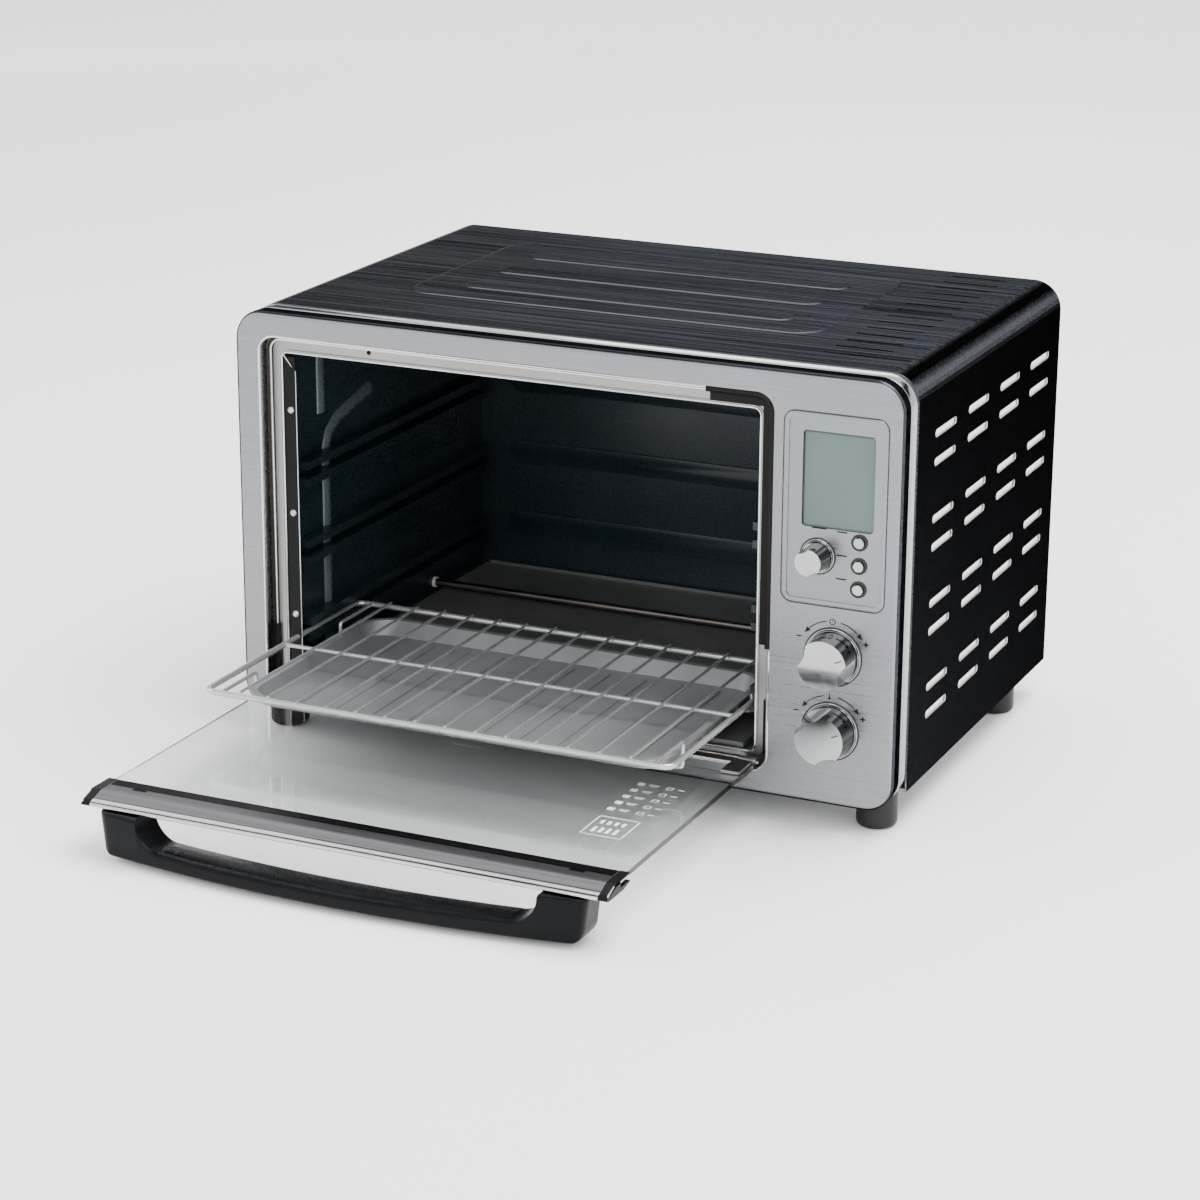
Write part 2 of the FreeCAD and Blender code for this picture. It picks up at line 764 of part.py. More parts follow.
def crumbTray():
    """Shallow tray on the chamber floor with a turned front lip."""
    x0 = doorCentreX - trayWidth / 2
    x1 = doorCentreX + trayWidth / 2
    y0 = frameFront + 2.0
    y1 = cavityBack - 4.0
    z0 = cavityFloor + slip
    t = traySheet
    block = box(x0, x1, y0, y1, z0, z0 + trayLip)
    tray = block.cut(box(x0 + t, x1 - t, y0 + t, y1 - t, z0 + t, z0 + trayLip + 1))
    grip = box(x0 + 60.0, x1 - 60.0, y0 - 4.0, y0 + t, z0, z0 + 1.2)
    return fuse([tray, grip])


def fan():
    """Radial fan wheel on its shaft, turning about X."""
    x0 = cavityRight + linerSheet + 16.0
    y = front + fanBack
    z = fanHeight
    disc = cylinderX(x0 + fanBladeDepth, x0 + fanBladeDepth + 1.2, y, z, fanDiameter / 2)
    hub = cylinderX(x0 + 4.0, x0 + fanBladeDepth + 6.0, y, z, 9.0)
    blades = []
    for i in range(9):
        blade = box(x0, x0 + fanBladeDepth + 0.6, y + 22.0, y + fanDiameter / 2 - 2.0, z - 0.5, z + 0.5)
        blade.rotate(V(x0, y + 22.0, z), V(1, 0, 0), 28)
        blade.rotate(V(x0, y, z), V(1, 0, 0), 40 * i)
        blades.append(blade)
    shaft = cylinderX(x0 + fanBladeDepth, motorFace() + 18.0, y, z, fanShaft / 2)
    return fuse([disc, hub, shaft] + blades)


def motorFace():
    """Face of the motor toward the fan."""
    return cavityRight + linerSheet + 16.0 + fanBladeDepth + 14.0


def fanMotor():
    """Shaded pole motor with its mounting feet on the scroll."""
    x0 = motorFace()
    y = front + fanBack
    z = fanHeight
    core = box(x0, x0 + 20.0, y - motorDiameter / 2, y + motorDiameter / 2, z - 30.0, z + 30.0)
    core = core.makeFillet(6.0, [e for e in core.Edges if e.BoundBox.XLength > 15.0])
    boss = cylinderX(x0 - 3.0, x0, y, z, 9.0)
    cap = cylinderX(x0 + 20.0, x0 + motorLength, y, z, 13.0)
    coil = box(x0 + 2.0, x0 + 26.0, y - 14.0, y + 14.0, z - 46.0, z - 30.0)
    bore = cylinderX(x0 - 4.0, x0 + 19.0, y, z, fanShaft / 2 + running)
    return fuse([core, boss, cap, coil]).cut(bore)


def fanScroll():
    """Open drum round the fan, screwed to the bulkhead, carrying the motor."""
    x0 = bayLeft + linerSheet
    x1 = motorFace() - 3.0
    y = front + fanBack
    z = fanHeight
    r = fanDiameter / 2 + 8.0
    t = fanScrollSheet
    drum = cylinderX(x0, x1, y, z, r).cut(cylinderX(x0 - 1, x1 - t, y, z, r - t))
    flange = cylinderX(x0, x0 + t, y, z, r + 10.0).cut(cylinderX(x0 - 1, x0 + 2, y, z, r - t))
    posts = [cylinderX(x1, x1 + 3.0, y + 20.0 * i, z + 24.0 * j, 3.0) for i in (-1, 1) for j in (-1, 1)]
    outlet = box(x0 + 6.0, x1 - 6.0, y + r - 12.0, y + r + 2.0, z - 20.0, z + 20.0)
    shell = fuse([drum, flange] + posts)
    return shell.cut(outlet).cut(cylinderX(x1 - 3.0, x1 + 1.0, y, z, 10.0))


def thermostatProbe():
    """Thin sensor rod through the right wall, on a plate against it."""
    x0 = cavityRight + linerSheet
    y = front + probeBack
    z = probeHeight
    stem = cylinderX(cavityRight - 42.0, x0 + 20.0, y, z, 2.2)
    plate = cylinderX(x0, x0 + 1.2, y, z, 8.0)
    return fuse([stem, plate])


def controlBoard():
    """Circuit board behind the control openings, on four posts."""
    y0 = boardFront
    board = box(boardLeft, boardRight, y0, y0 + boardSheet, footHeight + 28.0, bodyTop - 24.0)
    posts = []
    for x in (boardLeft + 5.0, boardRight - 5.0):
        for z in (footHeight + 34.0, bodyTop - 30.0):
            posts.append(cylinderY(front + bezelSheet, y0, x, z, 3.0))
    y1 = y0 + boardSheet
    chips = [box(boardLeft + 14.0, boardLeft + 38.0, y1, y1 + 3.0, timerZ + 18.0, timerZ + 42.0),
             box(boardRight - 34.0, boardRight - 10.0, y1, y1 + 10.0, temperatureZ + 20.0, temperatureZ + 34.0)]
    return fuse([board] + posts + chips)


def lcdModule():
    """Display cell and its frame between the lens and the board."""
    halfW = lcdWidth / 2 + lensMargin
    halfH = lcdHeight / 2 + lensMargin
    return box(lcdX - halfW, lcdX + halfW, front + bezelSheet + lensSheet, boardFront, lcdZ - halfH, lcdZ + halfH)


def lcdLens():
    """Clear window behind the bezel opening, with its raised middle in the hole."""
    halfW = lcdWidth / 2
    halfH = lcdHeight / 2
    back = front + bezelSheet
    plate = box(
        lcdX - halfW - lensMargin, lcdX + halfW + lensMargin, back, back + lensSheet,
        lcdZ - halfH - lensMargin, lcdZ + halfH + lensMargin)
    middle = roundedBlock(
        lcdX - halfW + fit, lcdX + halfW - fit, lcdZ - halfH + fit, lcdZ + halfH - fit, 2.8, front + 0.4, back + 0.5)
    return fuse([plate, middle])


def encoderBodies():
    """Turn encoders soldered to the board, each with its threaded bush."""
    pieces = []
    for name, x, z, diameter, proud, ring, turn in controls:
        half = encoderSize / 2
        body = box(x - half, x + half, boardFront - encoderDepth, boardFront, z - half, z + half)
        bush = cylinderY(front - 2.0, boardFront - encoderDepth, x, z, bushDiameter / 2)
        bore = cylinderY(front - 3.0, boardFront - 1.0, x, z, shaftDiameter / 2 + running)
        pieces.append(fuse([body, bush]).cut(bore))
    return Part.makeCompound(pieces)


def encoderShaft(x, z, proud):
    """Turning shaft that the knob is pressed on."""
    return cylinderY(front - proud + knobShell * 3, boardFront - 2.0, x, z, shaftDiameter / 2)


def knob(x, z, diameter, proud, turn):
    """Drafted knob with two finger scoops and a hollow back round its hub."""
    y0 = front - proud
    y1 = front - slip
    r = diameter / 2
    body = Part.makeCone(r + 0.8, r - 0.8, proud - slip, V(x, y1, z), V(0, -1, 0))
    scoopRadius = r * 0.9
    away = r + scoopRadius * 0.72
    for side in (-1, 1):
        angle = math.radians(turn)
        cx = x + side * away * math.cos(angle)
        cz = z + side * away * math.sin(angle)
        body = body.cut(cylinderY(y0 - 1, y1 - proud * 0.3, cx, cz, scoopRadius))
    hollow = cylinderY(y0 + knobShell * 2, y1 + 1, x, z, r * 0.62)
    hub = cylinderY(y0 + knobShell, front - 3.0, x, z, shaftDiameter / 2 + 2.0)
    bore = cylinderY(y0 + knobShell * 3, y1 + 1, x, z, shaftDiameter / 2 + running)
    return fuse([body.cut(hollow), hub]).cut(bore)


def knobRing(x, z, diameter, ring):
    """Raised ring on the bezel round a knob."""
    outer = Part.makeCone(ring / 2, ring / 2 - 0.6, ringProud, V(x, front, z), V(0, -1, 0))
    return outer.cut(cylinderY(front - ringProud - 1, front + 1, x, z, diameter / 2 + 0.8 + 2 * slip))


def buttonRingPiece(z):
    """Short collar that guides a button."""
    outer = cylinderY(front - 1.2, front + bezelSheet, buttonX, z, buttonRing / 2 - 0.6 - fit)
    skirt = cylinderY(front + bezelSheet, front + bezelSheet + 1.5, buttonX, z, buttonRing / 2 + 1.0)
    bore = cylinderY(front - 2, front + 8, buttonX, z, buttonDiameter / 2 + slip)
    lensLow = lcdZ - lcdHeight / 2 - lensMargin - slip
    clear = box(buttonX - 20, buttonX + 20, front + bezelSheet, front + 8, lensLow, lensLow + 20)
    return fuse([outer, skirt]).cut(bore).cut(clear)


def button(z):
    """Push button cap with a flange that stops it behind its collar."""
    face = front - buttonProud
    cap = cylinderY(face, front + 6.0, buttonX, z, buttonDiameter / 2)
    cap = cap.makeFillet(1.0, [e for e in cap.Edges if abs(e.BoundBox.YMin - face) < 0.01])
    flange = cylinderY(front + bezelSheet + 1.5 + slip, front + bezelSheet + 3.3, buttonX, z, buttonDiameter / 2 + 0.8)
    return fuse([cap, flange])


def tactSwitches():
    pieces = []
    for i in range(len(buttonNames)):
        z = buttonZ - i * buttonPitch
        y0 = front + 6.0 + buttonTravel + slip
        body = box(buttonX - 3.0, buttonX + 3.0, y0 + 0.8, boardFront, z - 3.0, z + 3.0)
        pieces.append(fuse([body, cylinderY(y0, y0 + 1.0, buttonX, z, 1.6)]))
    return Part.makeCompound(pieces)


def powerBoard():
    """Supply board on the bulkhead with a transformer, relays and capacitor."""
    x0 = bayLeft + linerSheet
    y0 = front + 40.0
    z0 = footHeight + powerBoardRise
    board = box(x0 + 5.0, x0 + 6.6, y0, y0 + powerBoardLength, z0, z0 + powerBoardHeight)
    posts = [cylinderX(x0, x0 + 5.0, y0 + a, z0 + b, 2.5)
             for a in (6.0, powerBoardLength - 6.0) for b in (6.0, powerBoardHeight - 6.0)]
    return fuse([board] + posts)


def powerRelays():
    x0 = bayLeft + linerSheet + 6.6
    y0 = front + 40.0
    z0 = footHeight + powerBoardRise
    pieces = []
    for i in range(3):
        y = y0 + 6.0 + relayPitch * i
        relay = box(x0, x0 + relayDepth, y, y + 20.0, z0 + 6.0, z0 + 22.0)
        pieces.append(relay.makeFillet(1.0, relay.Edges))
    pieces.append(box(x0, x0 + relayDepth + 10.0, y0 + 10.0, y0 + 40.0, z0 + 28.0, z0 + 56.0))
    return Part.makeCompound(pieces)


def terminalBlock():
    """Screw terminals on the base plate near the mains inlet."""
    x0 = bodyHalf - 75.0
    y0 = rear - 66.0
    z0 = footHeight + 2 * outerSheet
    body = box(x0, x0 + 42.0, y0, y0 + 16.0, z0, z0 + 16.0)
    wells = [cylinderZ(z0 + 6.0, z0 + 17.0, x0 + 7.0 + 14.0 * i, y0 + 8.0, 3.0) for i in range(3)]
    return body.cut(Part.makeCompound(wells))


def thermalFuse():
    """Cut-out disc against the outside of the chamber wall."""
    x0 = cavityRight + linerSheet
    y = front + 60.0
    z = footHeight + fuseRise
    disc = cylinderX(x0, x0 + 6.0, y, z, 8.0)
    tabs = [box(x0 + 6.0, x0 + 10.0, y - 5.0, y - 3.5, z - 3.0, z + 3.0),
            box(x0 + 6.0, x0 + 10.0, y + 3.5, y + 5.0, z - 3.0, z + 3.0)]
    return fuse([disc] + tabs)


def cordGland():
    """Bush in the rear panel where the mains lead comes in."""
    y1 = rear - rearPanelInset
    y0 = y1 - outerSheet
    outside = cylinderY(y1, y1 + 1.5, glandX, glandZ, 10.0)
    neck = cylinderY(y0 - 4.0, y1, glandX, glandZ, 7.0 - fit)
    inside = cylinderY(y0 - 4.0, y0, glandX, glandZ, 9.0)
    bore = cylinderY(y0 - 6.0, y1 + 4.0, glandX, glandZ, 4.0)
    return fuse([outside, neck, inside]).cut(bore)


def doorGlass():
    half = glassWidth / 2
    return box(doorCentreX - half, doorCentreX + half, hingeY - glassEnd, hingeY - glassStart, glassUnder, glassTop)


def railProfile():
    """Side outline (y, z) of the folded top rail, from the glass round the lip."""
    t = railSheet
    top = glassTop + slip + t
    under = glassUnder - slip - t
    y0 = hingeY - railStart
    y1 = hingeY - railEnd
    knee = y0 - 22.0
    return [
        (y0, top), (knee, top), (y1 + 4.0, top - 4.2), (y1, top - railLip), (y1 + 1.5, under - 1.4),
        (y1 + 5.0, under - 2.0), (y0 - 10.0, under - 2.0), (y0, under),
        (y0, under + t), (hingeY - glassEnd - 2.0, under + t),
        (hingeY - glassEnd - 2.0, top - t), (y0, top - t),
    ]


def doorRail():
    """Folded metal rail along the free edge of the glass."""
    half = railWidth / 2
    x0 = doorCentreX - half + capLength
    x1 = doorCentreX + half - capLength
    rail = polyBlockX(railProfile(), x0, x1)
    t = railSheet
    under = glassUnder - slip - 3 * t
    y0 = hingeY - railEnd + 4.0 + t
    y1 = hingeY - glassEnd - 2.0 - t
    top = glassTop + slip
    hollow = polyBlockX(
        [(y0, under + t), (y1, under + t), (y1, top), (y0 + 11.0, top), (y0, top - 3.8)], x0 - 1, x1 + 1)
    return rail.cut(hollow).cut(Part.makeCompound(handleBores()))


def railCap(side):
    """Moulded end cap on the rail."""
    half = railWidth / 2
    near, far = sorted((doorCentreX + side * half, doorCentreX + side * (half - capLength)))
    block = polyBlockX(railProfile(), near, far)
    glassEdge = doorGlass()
    return block.cut(glassEdge)


def handleScrewPlaces():
    offset = handleWidth / 2 - handlePost / 2
    y = hingeY - (glassEnd + railEnd) / 2
    return [(doorCentreX - offset, y), (doorCentreX + offset, y)]


def handleBores():
    top = glassUnder - slip - railSheet
    return [cylinderZ(top - 8.0, top, x, y, handleScrew / 2 + fit) for x, y in handleScrewPlaces()]


def handleTop():
    """Level where the posts of the handle meet the rail."""
    return glassUnder - slip - 3 * railSheet


def doorHandle():
    """Moulded grip: two posts under the rail and a bowed bar between them."""
    top = handleTop()
    half = handleWidth / 2
    x0 = doorCentreX - half
    x1 = doorCentreX + half
    z0 = top - handleDrop
    yIn = hingeY - handleStart
    yOut = hingeY - handleEnd
    bow = handleBow
    outline = [
        Part.LineSegment(V(x0, yIn, z0), V(x0, yOut + 6, z0)).toShape(),
        Part.Arc(V(x0, yOut + 6, z0), V(x0 + 1.8, yOut + 1.8, z0), V(x0 + 6, yOut, z0)).toShape(),
        Part.Arc(V(x0 + 6, yOut, z0), V(doorCentreX, yOut - bow, z0), V(x1 - 6, yOut, z0)).toShape(),
        Part.Arc(V(x1 - 6, yOut, z0), V(x1 - 1.8, yOut + 1.8, z0), V(x1, yOut + 6, z0)).toShape(),
        Part.LineSegment(V(x1, yOut + 6, z0), V(x1, yIn, z0)).toShape(),
        Part.Arc(V(x1, yIn, z0), V(doorCentreX, yIn - bow, z0), V(x0, yIn, z0)).toShape(),
    ]
    block = Part.Face(Part.Wire(outline)).extrude(V(0, 0, handleDrop))
    block = block.common(roundedBlock(x0, x1, z0, top + handleDrop, handleCorner, yOut - 2 * bow, yIn + 1))
    gap = handleGap(x0 + handlePost, x1 - handlePost, yOut - 60, yIn + 20, z0 + handleBar, top + 1)
    handle = block.cut(gap)
    pilot = [cylinderZ(top - 16.0, top + 1, x, y, handleScrew / 2 + fit) for x, y in handleScrewPlaces()]
    return handle.cut(Part.makeCompound(pilot))


def handleGap(x0, x1, y0, y1, z0, z1):
    """Finger gap with wide round corners at the bar."""
    gap = box(x0, x1, y0, y1, z0, z1)
    flare = [e for e in gap.Edges if e.BoundBox.YLength > 40 and abs(e.BoundBox.ZMax - z0) < 0.01]
    return gap.makeFillet(handleFlare, flare)


def handleScrews():
    """Screws through the floor of the rail into the posts."""
    top = handleTop()
    pieces = []
    for x, y in handleScrewPlaces():
        head = cylinderZ(top + railSheet, top + railSheet + 2.0, x, y, handleScrew / 2 + 1.5)
        shank = cylinderZ(top - 14.0, top + railSheet, x, y, handleScrew / 2)
        pieces.append(fuse([head, shank]))
    return Part.makeCompound(pieces)


def hingeClip(side):
    """Clamp on a lower corner of the glass, with the barrel that turns on the pin."""
    outer = doorCentreX + side * (glassWidth / 2 - 1.0)
    near, far = sorted((outer, outer - side * clipWidth))
    y1 = hingeY - glassStart + 1.5 + slip
    y0 = hingeY - clipReach
    jaws = box(near, far, y0, y1, glassUnder - fit - clipJaw, glassTop + fit + clipJaw)
    slot = box(near - 1, far + 1, y0 - 1, hingeY - glassStart + slip, glassUnder - fit, glassTop + fit)
    barrel = cylinderX(near, far, hingeY, hingeHeight, barrelDiameter / 2)
    clip = fuse([jaws.cut(slot), barrel, box(near, far, y1 - 1.0, hingeY, hingeHeight - 1.5, hingeHeight + 1.5)])
    return clip.cut(cylinderX(near - 1, far + 1, hingeY, hingeHeight, pinDiameter / 2 + running))


def bracketX(side):
    """Near and far X of a hinge bracket, against the wall of the recess."""
    wall = doorCentreX + side * recessWidth / 2
    return sorted((wall, wall - side * bracketWidth))


def hingePin(side):
    """Pin from the bracket through the barrel of the clip."""
    inner, outer = bracketX(side)
    held = pinDiameter / 2 + fit
    clipInner = doorCentreX + side * (glassWidth / 2 - 1.0 - clipWidth)
    if side < 0:
        return cylinderX(outer - held, clipInner, hingeY, hingeHeight, pinDiameter / 2)
    return cylinderX(clipInner, inner + held, hingeY, hingeHeight, pinDiameter / 2)


def hingeBracket(side):
    """Black bracket in a lower corner of the recess that holds the pin."""
    near, far = bracketX(side)
    base = hingeHeight + 8.0
    ear = box(near, far, hingeY - 3.5, frameFront, recessBottom, base)
    strap = box(near, far, frameFront - bracketDepth / 2, frameFront, base - 1.0, recessBottom + bracketHeight)
    recess = roundedBlock(recessLeft, recessRight, recessBottom, recessTop, recessCorner, front, frameFront)
    bracket = fuse([ear, strap]).common(recess)
    return bracket.cut(cylinderX(near - 1, far + 1, hingeY, hingeHeight, pinDiameter / 2 + fit / 2))


def rack():
    """Welded wire rack with two hooks at each side that carry the pan."""
    y0 = rackFront
    y1 = rackFront + rackLength
    xa = doorCentreX - railX
    xb = doorCentreX + railX
    z = rackHeight
    half = (xa + xb) / 2
    loopFront = bentWire(
        [V(half, y1, z), V(xa, y1, z), V(xa, y0, z), V(xb, y0, z), V(xb, y1, z), V(half, y1, z)],
        frameWire, 8.0)
    wires = [loopFront]
    first = doorCentreX - thinWirePitch * (thinWireCount - 1) / 2
    zt = z + (frameWire + thinWire) / 2 - 0.5
    for i in range(thinWireCount):
        x = first + i * thinWirePitch
        wires.append(cylinderY(y0 - 0.5, y1 + 0.5, x, zt, thinWire / 2))
    middle = (y0 + y1) / 2
    wires.append(cylinderX(xa, xb, middle, z, frameWire / 2 - 0.6))
    for side in (-1, 1):
        x = doorCentreX + side * (panWidth / 2 + hookWire / 2 + 1.0)
        wires += hookPair(x, -side, y0, y1)
    return fuse(wires)


def hookPair(x, inward, y0, y1):
    """Front and rear hanging hooks on one side."""
    zLow = toeTop - hookWire / 2
    hooks = []
    for start, step in ((y0, 1), (y1, -1)):
        y = start + step * hookReach
        path = [V(x, start, rackHeight), V(x, y, rackHeight), V(x, y, zLow), V(x + inward * hookToe, y, zLow)]
        hooks.append(bentWire(path, hookWire, 3.0))
    return hooks


def bakePan():
    """Drip pan under the rack: sloped walls, a flat rim and shallow ribs."""
    half = panWidth / 2
    sides = (doorCentreX - half, doorCentreX + half, rackFront + panSetBack, rackFront + rackLength - 3.0)
    shell = panBody(sides).cut(panHollow(sides))
    ribs = []
    span = panWidth - 2 * (panRim + panSideSlope) - 24.0
    count = int(span / panRibPitch)
    near = sides[2] + panRim + panEndSlope + 12.0
    far = sides[3] - panRim - panEndSlope - 12.0
    for i in range(count):
        x = doorCentreX + (i - (count - 1) / 2) * panRibPitch
        z0 = panBottom + panSheet / 2
        ribs.append(box(x - 3.0, x + 3.0, near, far, z0, z0 + 1.6))
    return fuse([shell] + ribs)


def panBody(sides):
    """Outer solid of the pan, with its rim."""
    rim = panBottom + panDepth
    low = panOutline(sides, panRim + panSideSlope, panRim + panEndSlope, 18.0, panBottom)
    high = panOutline(sides, panRim, panRim, 24.0, rim)
    flange = Part.Face(panOutline(sides, 0.0, 0.0, 28.0, rim - panSheet)).extrude(V(0, 0, panSheet))
    return fuse([Part.makeLoft([low, high], True, True), flange])


def panHollow(sides):
    rim = panBottom + panDepth
    t = panSheet
    low = panOutline(sides, panRim + panSideSlope + t, panRim + panEndSlope + t, 18.0 - t, panBottom + t)
    high = panOutline(sides, panRim + t, panRim + t, 24.0 - t, rim + 0.5)
    return Part.makeLoft([low, high], True, True)


def panOutline(sides, insetX, insetY, radius, z):
    """Rounded rectangle in a level plane."""
    x0, x1, y0, y1 = sides
    face = roundedFace(x0 + insetX, x1 - insetX, y0 + insetY, y1 - insetY, radius, 0.0)
    wire = face.OuterWire.copy()
    wire.rotate(V(0, 0, 0), V(1, 0, 0), -90)
    wire.translate(V(0, y0 + insetY - wire.BoundBox.YMin, z - wire.BoundBox.ZMin))
    return wire


def export(name, shape):
    shape.exportStep("parts/" + name + ".step")
    solids = shape.Solids
    print(name, "solids", len(solids), "volume", round(sum(s.Volume for s in solids)), shape.isValid())


def shellParts():
    return {
        "outer_wrap": outerWrap(),
        "front_bezel": frontBezel(),
        "chamber_frame": chamberFrame(),
        "cavity_liner": cavityLiner(),
        "steam_seal": sealStrip(),
        "bulkhead": bulkhead(),
        "base_plate": basePlate(),
        "rear_panel": rearPanel(),
        "cover_screws": coverScrews(),
        "foot_screws": footScrews(),
        "top_insulation": topInsulation(),
        "rear_insulation": rearInsulation(),
    }


def chamberParts():
    return {
        "lower_front_element": heatingElement(frontRod, lowerRodHeight),
        "lower_rear_element": heatingElement(rearRod, lowerRodHeight),
        "upper_front_element": heatingElement(frontRod, upperRodHeight),
        "upper_rear_element": heatingElement(rearRod, upperRodHeight),
        "element_insulators": insulators(),
        "crumb_tray": crumbTray(),
        "convection_fan": fan(),
        "fan_motor": fanMotor(),
        "fan_scroll": fanScroll(),
        "thermostat_probe": thermostatProbe(),
        "rack": rack(),
        "bake_pan": bakePan(),
    }


def controlParts():
    parts = {
        "control_board": controlBoard(),
        "lcd_module": lcdModule(),
        "lcd_lens": lcdLens(),
        "encoder_bodies": encoderBodies(),
        "tact_switches": tactSwitches(),
        "power_board": powerBoard(),
        "power_relays": powerRelays(),
        "terminal_block": terminalBlock(),
        "thermal_fuse": thermalFuse(),
        "cord_gland": cordGland(),
    }
    for name, x, z, diameter, proud, ring, turn in controls:
        parts[name + "_knob"] = knob(x, z, diameter, proud, turn)
        parts[name + "_shaft"] = encoderShaft(x, z, proud)
    parts["knob_rings"] = Part.makeCompound(
        [knobRing(x, z, diameter, ring) for name, x, z, diameter, proud, ring, turn in controls])
    for i, name in enumerate(buttonNames):
        parts[name + "_button"] = button(buttonZ - i * buttonPitch)
    parts["button_collars"] = Part.makeCompound(
        [buttonRingPiece(buttonZ - i * buttonPitch) for i in range(len(buttonNames))])
    return parts


def doorParts():
    parts = {
        "door_glass": doorGlass(),
        "door_rail": doorRail(),
        "door_handle": doorHandle(),
        "handle_screws": handleScrews(),
    }
    parts["hinge_pins"] = Part.makeCompound([hingePin(-1), hingePin(1)])
    for name, side in (("left", -1), ("right", 1)):
        parts["rail_cap_" + name] = railCap(side)
        parts["hinge_clip_" + name] = hingeClip(side)
        parts["hinge_bracket_" + name] = hingeBracket(side)
    return parts


def feetParts():
    return {"foot_" + name: foot(x, y) for name, x, y in footPlaces}


os.makedirs("parts", exist_ok=True)
for group in (shellParts(), chamberParts(), controlParts(), doorParts(), feetParts()):
    for nodeName, nodeShape in group.items():
        export(nodeName, nodeShape)
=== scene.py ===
import bpy
import math
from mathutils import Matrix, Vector


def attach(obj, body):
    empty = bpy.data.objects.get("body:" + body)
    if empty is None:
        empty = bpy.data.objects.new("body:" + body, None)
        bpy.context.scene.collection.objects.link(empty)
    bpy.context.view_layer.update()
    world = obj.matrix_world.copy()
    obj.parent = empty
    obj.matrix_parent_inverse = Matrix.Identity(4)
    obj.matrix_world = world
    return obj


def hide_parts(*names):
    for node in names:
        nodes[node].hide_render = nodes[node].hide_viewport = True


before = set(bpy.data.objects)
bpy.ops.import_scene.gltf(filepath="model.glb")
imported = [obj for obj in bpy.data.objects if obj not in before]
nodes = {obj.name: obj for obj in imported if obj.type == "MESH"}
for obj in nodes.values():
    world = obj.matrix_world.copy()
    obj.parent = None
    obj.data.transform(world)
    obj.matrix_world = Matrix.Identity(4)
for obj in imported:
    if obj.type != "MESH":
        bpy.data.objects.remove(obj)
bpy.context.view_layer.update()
print("frame loaded:", len(nodes), "nodes")

perMetre = 1000        # millimetres in a metre
doorMiddle = -38.5     # middle of the door and chamber across the front, millimetres
shaping = {"straight": 0.999, "roll": 0.998, "mergeCad": 0.00002, "mergeTurned": 0.000005, "flat": 1}


# small helpers

def setMode(mode):
    bpy.ops.object.mode_set(mode=mode)


def clearSelection():
    if bpy.context.object and bpy.context.object.mode != "OBJECT":
        setMode("OBJECT")
    bpy.ops.object.select_all(action="DESELECT")


def pick(obj):
    clearSelection()
    obj.select_set(True)
    bpy.context.view_layer.objects.active = obj
    return obj


def applyAll(obj):
    pick(obj)
    bpy.ops.object.transform_apply(location=True, rotation=True, scale=True)
    for mod in list(obj.modifiers):
        bpy.ops.object.modifier_apply(modifier=mod.name)
    return obj


def addBlock(name, low, high):
    clearSelection()
    middle = [(a + b) / 2 for a, b in zip(low, high)]
    bpy.ops.mesh.primitive_cube_add(size=1, location=middle)
    obj = bpy.context.object
    obj.name = name
    obj.scale = [b - a for a, b in zip(low, high)]
    bpy.ops.object.transform_apply(location=True, rotation=True, scale=True)
    return obj


def addPill(name, middle, length, height, depth, along="X", through="Z", sides=12):
    # round-ended rib: a block with its four edges along through rolled right over
    size = {"X": height, "Y": height, "Z": height}
    size[along] = length
    size[through] = depth
    low = [middle[i] - size[a] / 2 for i, a in enumerate("XYZ")]
    high = [middle[i] + size[a] / 2 for i, a in enumerate("XYZ")]
    obj = addBlock(name, low, high)
    bevelEdges(obj, through, height / 2 * shaping["roll"], sides // 2)
    return obj


def selectWhere(obj, kind, test):
    # test takes the two ends of an edge, or the middle and the normal of a face
    pick(obj)
    setMode("EDIT")
    bpy.ops.mesh.select_mode(type=kind)
    bpy.ops.mesh.select_all(action="DESELECT")
    setMode("OBJECT")
    verts = obj.data.vertices
    if kind == "EDGE":
        for edge in obj.data.edges:
            edge.select = test(*(verts[v].co for v in edge.vertices))
    else:
        for face in obj.data.polygons:
            face.select = test(face.center, face.normal)
    setMode("EDIT")


def bevelEdges(obj, axis, width, segments, test=None):
    i = "XYZ".index(axis)

    def along(a, b):
        run = b - a
        return abs(run[i]) > shaping["straight"] * run.length and (test is None or test((a + b) / 2))
    selectWhere(obj, "EDGE", along)
    bpy.ops.mesh.bevel(offset=width, segments=segments, profile=0.5)
    setMode("OBJECT")
    return obj


def softEdges(obj, width, segments=3, angle=40):
    mod = obj.modifiers.new("edge", "BEVEL")
    mod.width = width
    mod.segments = segments
    mod.limit_method = "ANGLE"
    mod.angle_limit = math.radians(angle)
    return applyAll(obj)


def smooth(obj, angle=35):
    pick(obj)
    bpy.ops.object.shade_smooth_by_angle(angle=math.radians(angle))
    return obj


def evenNormals(obj):
    mod = obj.modifiers.new("even", "WEIGHTED_NORMAL")
    mod.keep_sharp = True
    mod.weight = 100
    return applyAll(obj)


def joinUp(name, parts):
    clearSelection()
    for part in parts:
        part.select_set(True)
    bpy.context.view_layer.objects.active = parts[0]
    if len(parts) > 1:
        bpy.ops.object.join()
    obj = bpy.context.object
    obj.name = name
    return obj


def copyOf(name, node):
    # own copy of a CAD node's mesh with its loose triangles merged
    clearSelection()
    obj = nodes[node].copy()
    obj.data = nodes[node].data.copy()
    for key in list(obj.keys()):
        del obj[key]
    obj.parent = None
    bpy.context.scene.collection.objects.link(obj)
    obj.name = name
    pick(obj)
    setMode("EDIT")
    bpy.ops.mesh.select_all(action="SELECT")
    bpy.ops.mesh.remove_doubles(threshold=shaping["mergeCad"])
    bpy.ops.mesh.dissolve_limited(angle_limit=math.radians(shaping["flat"]))
    setMode("OBJECT")
    return obj


